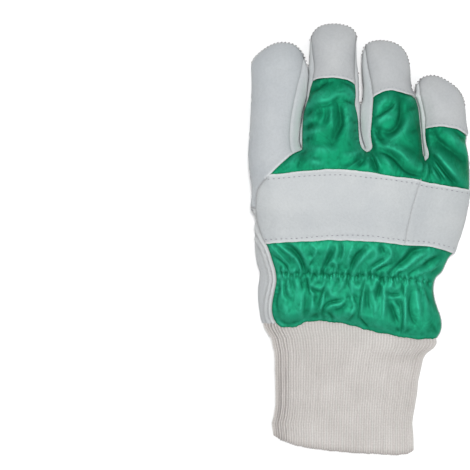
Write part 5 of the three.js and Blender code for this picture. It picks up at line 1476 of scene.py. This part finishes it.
def cuff_piece():
    count = RIBS * RIB_POINTS
    # even steps round the flattened section
    a = np.linspace(0, 2 * np.pi, 4001)
    bend = lambda v, p: np.sign(v) * np.abs(v) ** (2 / p)
    ax, az = 68 * bend(np.cos(a), 3.0), 8.6 * bend(np.sin(a), 2.6)
    t = np.concatenate([[0], np.cumsum(np.hypot(np.diff(ax), np.diff(az)))])
    s = np.interp(np.arange(count) / count * t[-1], t, a)
    across, up = bend(np.cos(s), 3.0), bend(np.sin(s), 2.6)
    tang = np.stack([np.roll(across, -1) * 68 - np.roll(across, 1) * 68, np.roll(up, -1) * 8.6 - np.roll(up, 1) * 8.6], 1)
    nrm = np.stack([tang[:, 1], -tang[:, 0]], 1)
    nrm /= np.linalg.norm(nrm, axis=1)[:, None]
    for _ in range(6):
        nrm = np.roll(nrm, 1, 0) + 2 * nrm + np.roll(nrm, -1, 0)
        nrm /= np.linalg.norm(nrm, axis=1)[:, None]
    u = 0.5 + 0.5 * across
    rib = np.array([0.0, 0.72, 1.0, 0.72, 0.1])[np.arange(count) % RIB_POINTS]
    mouth = photo(CUFF_MOUTH)
    sides = photo([(l, y) for y, l, r in CUFF_SIDES]), photo([(r, y) for y, l, r in CUFF_SIDES])
    sy = sides[0][:, 1]
    plain = photo([(l, y) for y, l, r in CUFF_PLAIN]), photo([(r, y) for y, l, r in CUFF_PLAIN])
    py = plain[0][:, 1]
    hem = HEM_LINE
    order = np.argsort(hem[:, 0])
    r = np.random.default_rng(5)
    uneven = 0.10 * r.standard_normal(RIBS).repeat(RIB_POINTS)
    ragged = 0.32 * noise(np.stack([u * 130, up * 3], 1), 3.0, 51)
    rows, shades = [], []

    def row(v, inset, flare=0.0):
        xm = mix(mouth[0, 0], mouth[-1, 0], u)
        ym = np.interp(xm, mouth[:, 0], mouth[:, 1]) + ragged * float(smooth(0.12, 0.0, v))
        yt = np.interp(xm, hem[order, 0], hem[order, 1]) + 9.0
        y = mix(ym, yt, v)
        left, right = np.interp(y, sy, sides[0][:, 0]), np.interp(y, sy, sides[1][:, 0])
        pl, pr = np.interp(y, py, plain[0][:, 0]), np.interp(y, py, plain[1][:, 0])
        x = mix(pl, pr, u) + (left - pl) * (1 - u) ** 4 + (right - pr) * u**6
        into = smooth(0.80, 1.0, v)
        bottom = 0.45 + 3.2 * into
        top = mix(14.8, 17.9, smooth(0.0, 0.8, v)) - 0.2 * into
        half = (top - bottom) / 2
        fuller = np.sign(up) * np.abs(up) ** (2.6 / 4.0)  # it fills the glove at the hem
        z = (top + bottom) / 2 + half * mix(up, fuller, smooth(0.55, 0.9, v) * (up > 0))
        wide = (right - left) / 2
        # folds along the cuff, mostly on its upper side
        lift = 0.0
        for c, w, depth, reach in CUFF_FOLDS:
            wander = 0.006 * np.sin(v * 5 + c * 40)
            lift = lift + depth * np.exp(-(((u - c - wander) / w) ** 2)) * smooth(1 - reach - 0.15, 1 - reach + 0.25, v)
        lift = lift * np.clip(up * 1.6, 0, 1) * (1 - 0.75 * smooth(0.80, 0.93, v))
        crease = np.exp(-((CUFF_CREASE(np.stack([x, y], 1)) / 2.6) ** 2)) * np.clip(up * 1.6, 0, 1) * smooth(3.0, 21.0, x)
        lift = lift + 0.28 * noise(np.stack([x, y], 1), 14, 52) - 0.8 * crease
        strong = 1 + 1.9 * np.exp(-((u / 0.085) ** 2)) + 0.5 * np.exp(-(((1 - u) / 0.05) ** 2))
        out = -inset + (0.54 * (rib - 1) * strong + uneven * rib) * (1 if inset < 1 else 0.6) + flare
        x = x + nrm[:, 0] * out
        z = z + nrm[:, 1] * out + lift * (1 if inset < 1 else 0.8)
        y = y + 0.16 * np.sin(np.arange(count) * 2.1 + v * 40) * 0.3 - 0.30 * (rib - 0.5) * smooth(0.05, 0.0, v)
        return np.stack([x, y, np.maximum(z, 0.05)], 1), crease

    outer_v = np.linspace(0, 1, CUFF_ROWS)
    for v in outer_v[::-1]:
        ring, crease = row(v, 0.0)
        rows.append(ring)
        # shade painted in the grooves between the ribs, deepest at the left end, and in the crease; dirt on the mouth's
        # edge; darker towards the right end
        shades.append((1 - rib) * (0.43 + 0.52 * np.exp(-((u / 0.10) ** 2))) + 0.35 * smooth(0.03, 0.0, v) + 0.17 * crease + 0.07 * smooth(0.80, 1.0, u))
    # the rolled edge: dirt, with shade painted in its rib grooves
    for k in range(1, 4):  # the rolled edge of the mouth, a little dirty
        ang = k * np.pi / 4
        ring, _ = row(0.0, (1 - math.cos(ang)) * CUFF_WALL / 2)
        ring[:, 1] -= math.sin(ang) * CUFF_WALL * 0.45
        rows.append(ring)
        shades.append(0.7 + (1 - rib) * 0.3)
    # the inside, darkened with painted shade
    for v in np.linspace(0, 1, 14):
        rows.append(row(v, CUFF_WALL)[0])
        shades.append(0.3 + (1 - rib) * 0.6)
    verts = np.concatenate(rows)
    polys = []
    total = len(rows)
    k = np.arange(count)
    for i in range(total):
        a, b = i * count, ((i + 1) % total) * count
        kk = (k + 1) % count
        polys.append(np.stack([a + k, a + kk, b + kk, b + k], 1))
    polys = np.concatenate(polys)
    ob = make("cuff_knit", verts, polys, KNIT, 80, {"seam": np.concatenate(shades)})
    me = ob.data
    # faces point out
    f = me.polygons[0]
    c = np.array(f.center)
    if f.normal.dot(Vector((0, 0, 1 if c[2] > 0.009 else -1))) < 0 and abs(f.normal.z) > 0.3:
        me.flip_normals()
    finish_piece(ob, "cuff")


cuff_piece()


# ---------------------------------------------------------------- patch under the cuff
PATCH = [(-31, -63.4), (-29.6, -84), (-24.6, -102.4), (-4.3, -105.6), (14.3, -103.0), (24.4, -99.0), (23.6, -66.4)]


def patch_piece():
    p = np.array(PATCH)
    lines = [even(np.array([p[i], p[(i + 1) % len(p)]]), 1.0)[:-1] for i in range(len(p))]
    ring = np.concatenate(lines)
    lo, hi = ring.min(0), ring.max(0)
    gx, gy = np.meshgrid(np.arange(lo[0], hi[0], 1.5), np.arange(lo[1], hi[1], 1.3))
    gx[1::2] += 0.75
    g = np.stack([gx.ravel(), gy.ravel()], 1)
    near = Near([np.concatenate([ring, ring[:1]])])
    g = g[inside(g, ring)]
    g = g[near(g) > 0.8]
    every = np.concatenate([ring, g])
    v, _, f, _, _, _ = delaunay_2d_cdt([Vector(q) for q in every], [(i, (i + 1) % len(ring)) for i in range(len(ring))], [], 1, 1e-4)
    pts = np.array([(q.x, q.y) for q in v])
    d = near(pts)
    under = 0.02 + 0.35 * np.exp(-((d / 0.5) ** 2)) + 0.22 * np.exp(-(((d - 2.2) / 0.35) ** 2)) + 0.22 * np.exp(-(((d - 4.4) / 0.35) ** 2))
    top = np.full(len(pts), 1.5) - 0.25 * np.exp(-((d / 0.5) ** 2))
    n = len(pts)
    tri = [tuple(t) for t in f]
    verts = np.concatenate([np.column_stack([pts, top]), np.column_stack([pts, under])])
    seen = set()
    for t in tri:
        for a, b in ((t[0], t[1]), (t[1], t[2]), (t[2], t[0])):
            seen.add((a, b))
    rim = [(a, b) for a, b in seen if (b, a) not in seen]
    polys = tri + [tuple(i + n for i in t[::-1]) for t in tri] + [(b, a, a + n, b + n) for a, b in rim]
    ob = make("pulse_patch_leather", verts, polys, LEATHER, 42, {"seam": np.zeros(2 * n)})
    finish_piece(ob, "pulse_patch")


patch_piece()


# ---------------------------------------------------------------- stitches
def stitch_mesh(name, rows, node_name, material, size=(1.5, 0.42, 0.30)):
    """Stitches as small rounded bars, joined in one mesh. rows are (point, direction, normal)."""
    length, width, tall = size
    ring, turns = 6, 5
    unit, quads = [], []
    for i in range(turns):
        s = -1 + 2 * i / (turns - 1)
        r = math.sqrt(max(0.0, 1 - (abs(s) ** 2.6))) * 0.85 + 0.15
        arch = 0.5 * (1 - s * s)
        for k in range(ring):
            a = 2 * math.pi * k / ring
            unit.append((s * length / 2, r * width / 2 * math.cos(a), r * tall / 2 * math.sin(a) + arch * tall * 0.7))
    unit = np.array(unit)
    for i in range(turns - 1):
        for k in range(ring):
            a, b = i * ring + k, i * ring + (k + 1) % ring
            quads.append((a, b, b + ring, a + ring))
    quads.append(tuple(range(ring))[::-1])
    quads.append(tuple((turns - 1) * ring + k for k in range(ring)))
    verts, polys = [], []
    for p, d, n in rows:
        d = d - n * np.dot(d, n)
        d = d / (np.linalg.norm(d) + 1e-9)
        side = np.cross(n, d)
        base = len(verts) * len(unit)
        verts.append(p + unit[:, :1] * d + unit[:, 1:2] * side + unit[:, 2:] * n)
        polys += [tuple(base + i for i in q) for q in quads]
    ob = make(name, np.concatenate(verts), polys, material, 60)
    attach(ob, "root")
    return ob


def surface(name):
    pos, faces = PIECES[name + "_outer"]
    used, inv = np.unique(faces, return_inverse=True)
    return BVHTree.FromPolygons([Vector(v) for v in pos[used]], [list(map(int, f)) for f in inv.reshape(faces.shape)])


def run(line_mm, trees, pitch, lift=0.02, down=True):
    """Stitch places along a line, on whichever surface is under it."""
    p = even(np.asarray(line_mm, float), pitch)
    t = np.gradient(p, axis=0)
    out = []
    for q, d in zip(p, t):
        best = None
        for tree in trees:
            hit = tree.ray_cast(Vector((q[0], q[1], 90 if down else -20)), Vector((0, 0, -1 if down else 1)))
            if hit[0] is not None and (best is None or hit[3] < best[3]):
                best = hit
        if best is None:
            continue
        n = np.array(best[1])
        if (n[2] < 0) == down:
            n = -n
        out.append((np.array(best[0]) + n * lift, np.array([d[0], d[1], 0.0]), n))
    return out


T = {k: surface(k) for k in ("knuckle_band", "knuckle_band_side", "tip_middle", "tip_ring", "tip_little")}
BAND_TOP_STITCH = [(268, 179.2), (283, 177.9), (300, 176.4), (320, 175.2), (337, 174.8), (350, 175.4), (364.2, 177.2), (379.5, 178.6), (391.3, 180), (403.1, 181.6), (414.9, 183.6),
                   (425.5, 186.6), (444.4, 189.4), (456.2, 191.4), (466.6, 193.2)]
BAND_BOTTOM_STITCH = [(265.4, 239.6), (277.7, 239), (290.7, 238.6), (306.4, 237.6), (323.4, 236), (339.1, 235.3), (353.5, 235.0), (364.2, 235.4), (376, 236.4), (385.4, 237.9), (397.2, 239.4),
                      (409, 240.8), (420.8, 241.4), (432.6, 242.8), (444, 245.4), (453.2, 248.0)]
rows = run(line(BAND_TOP_STITCH), [T["knuckle_band"], T["knuckle_band_side"]], 3.2) + run(line(BAND_BOTTOM_STITCH), [T["knuckle_band"], T["knuckle_band_side"]], 3.2)
stitch_mesh("band_stitches", rows, None, THREAD)


def beside(poly, by):
    t = np.gradient(poly, axis=0)
    t /= np.linalg.norm(t, axis=1)[:, None]
    return poly + np.stack([-t[:, 1], t[:, 0]], 1) * by


ring = np.array(PATCH)
middle_of_patch = ring.mean(0)
rows = []
for inset in (2.2, 4.4):
    corners = []
    for i in range(len(ring)):
        a, b, c = ring[i - 1], ring[i], ring[(i + 1) % len(ring)]
        u1, u2 = (b - a) / np.linalg.norm(b - a), (c - b) / np.linalg.norm(c - b)
        n1, n2 = np.array([-u1[1], u1[0]]), np.array([-u2[1], u2[0]])
        if n1 @ (middle_of_patch - b) < 0:
            n1, n2 = -n1, -n2
        m = n1 + n2
        corners.append(b + m * inset / max(0.4, (m @ n1)))
    corners.append(corners[0])
    path = even(np.array(corners), 2.8)
    t = np.gradient(path, axis=0)
    rows += [(np.array([q[0], q[1], 0.20]), np.array([d[0], d[1], 0.0]), np.array([0.0, 0.0, -1.0])) for q, d in zip(path[1:-1], t[1:-1])]
stitch_mesh("patch_stitches", rows, None, THREAD_W, (1.5, 0.4, 0.16))

rows = []
for cap in ("middle", "ring", "little"):
    rows += run(beside(S["cap_" + cap], 1.9)[2:-2], [T["tip_" + cap]], 2.6)
stitch_mesh("cap_stitches", rows, None, THREAD_W, (1.3, 0.4, 0.28))

# the seam round each finger tip: its thread shows between the two leathers
rows = []
seam_line = even(LATERAL, 2.3)
out_of = np.gradient(seam_line, axis=0)
out_of /= np.linalg.norm(out_of, axis=1)[:, None]
seam_level = np.mean(section(seam_line, np.full(len(seam_line), 40.0)), axis=0)
for q, d, z in zip(seam_line, out_of, seam_level):
    side = np.array([d[1], -d[0], 0.0])
    if inside((q + 0.5 * side[:2])[None], OUTLINE)[0]:
        side = -side
    if side[1] > 0.12 and q[1] > 60:
        rows.append((np.array([q[0], q[1], z]) + side * 0.24, np.array([d[0], d[1], 0.0]), side))
stitch_mesh("tip_stitches", rows, None, THREAD_TIP, (1.25, 0.9, 0.50))


# ---------------------------------------------------------------- floor, light, camera
def floor():
    m, nt, bsdf = nodes_for("paper", 0.9, 0.2)
    co = nt.nodes.new("ShaderNodeTexCoord").outputs["Object"]
    n = node(nt, "ShaderNodeTexNoise", Scale=3.0, Detail=3.0)
    nt.links.new(co, n.inputs["Vector"])
    nt.links.new(ramp(nt, n.outputs["Fac"], [(0.3, (0.86, 0.86, 0.86)), (0.7, (0.88, 0.88, 0.88))]), bsdf.inputs["Base Color"])
    me = bpy.data.meshes.new("floor")
    s = 6.0
    me.from_pydata([(-s, -s, 0), (s, -s, 0), (s, s, 0), (-s, s, 0)], [], [(0, 1, 2, 3)])
    me.materials.append(m)
    ob = bpy.data.objects.new("floor", me)
    bpy.context.scene.collection.objects.link(ob)


floor()


def area(name, place, at, size, power, colour=(1, 1, 1)):
    d = bpy.data.lights.new(name, "AREA")
    d.shape, d.size, d.energy, d.color = "DISK", size, power, colour
    ob = bpy.data.objects.new(name, d)
    ob.location = place
    ob.rotation_euler = (Vector(at) - Vector(place)).to_track_quat("-Z", "Y").to_euler()
    bpy.context.scene.collection.objects.link(ob)


sun = bpy.data.lights.new("key", "SUN")
sun.energy, sun.angle = 2.75, math.radians(7.0)
sun_ob = bpy.data.objects.new("key", sun)
sun_ob.rotation_euler = Vector((0.02, -0.15, -1.76)).to_track_quat("-Z", "Y").to_euler()
bpy.context.scene.collection.objects.link(sun_ob)
area("fill", (0.5, -0.8, 1.50), (0, 0, 0.02), 1.4, 4.0)
world = bpy.data.worlds.new("studio")
bpy.context.scene.world = world
world.use_nodes = True
wnt = world.node_tree
direction = wnt.nodes.new("ShaderNodeTexCoord").outputs["Generated"]
split = wnt.nodes.new("ShaderNodeSeparateXYZ")
wnt.links.new(direction, split.inputs[0])
sky = ramp(wnt, split.outputs["Z"], [(0.0, (1.0, 1.0, 1.0)), (0.05, (0.92, 0.92, 0.92)), (0.13, (0.36, 0.36, 0.36)), (1.0, (0.33, 0.33, 0.33))])
wnt.links.new(sky, wnt.nodes["Background"].inputs["Color"])
wnt.nodes["Background"].inputs["Strength"].default_value = 1.0

cam = bpy.data.cameras.new("camera")
cam.sensor_width = 36.0
cam.lens = LENS
cam.clip_start, cam.clip_end = 0.05, 50
cam_ob = bpy.data.objects.new("camera", cam)
cx, cy = photo([VIEW_CENTRE])[0]
cam_ob.location = (cx * MM, cy * MM, (VIEW_WIDTH * LENS / 36.0 + VIEW_LEVEL) * MM)
cam_ob.rotation_euler = (0, 0, 0)
bpy.context.scene.collection.objects.link(cam_ob)
bpy.context.scene.camera = cam_ob
bpy.context.scene.view_settings.view_transform = "Standard"
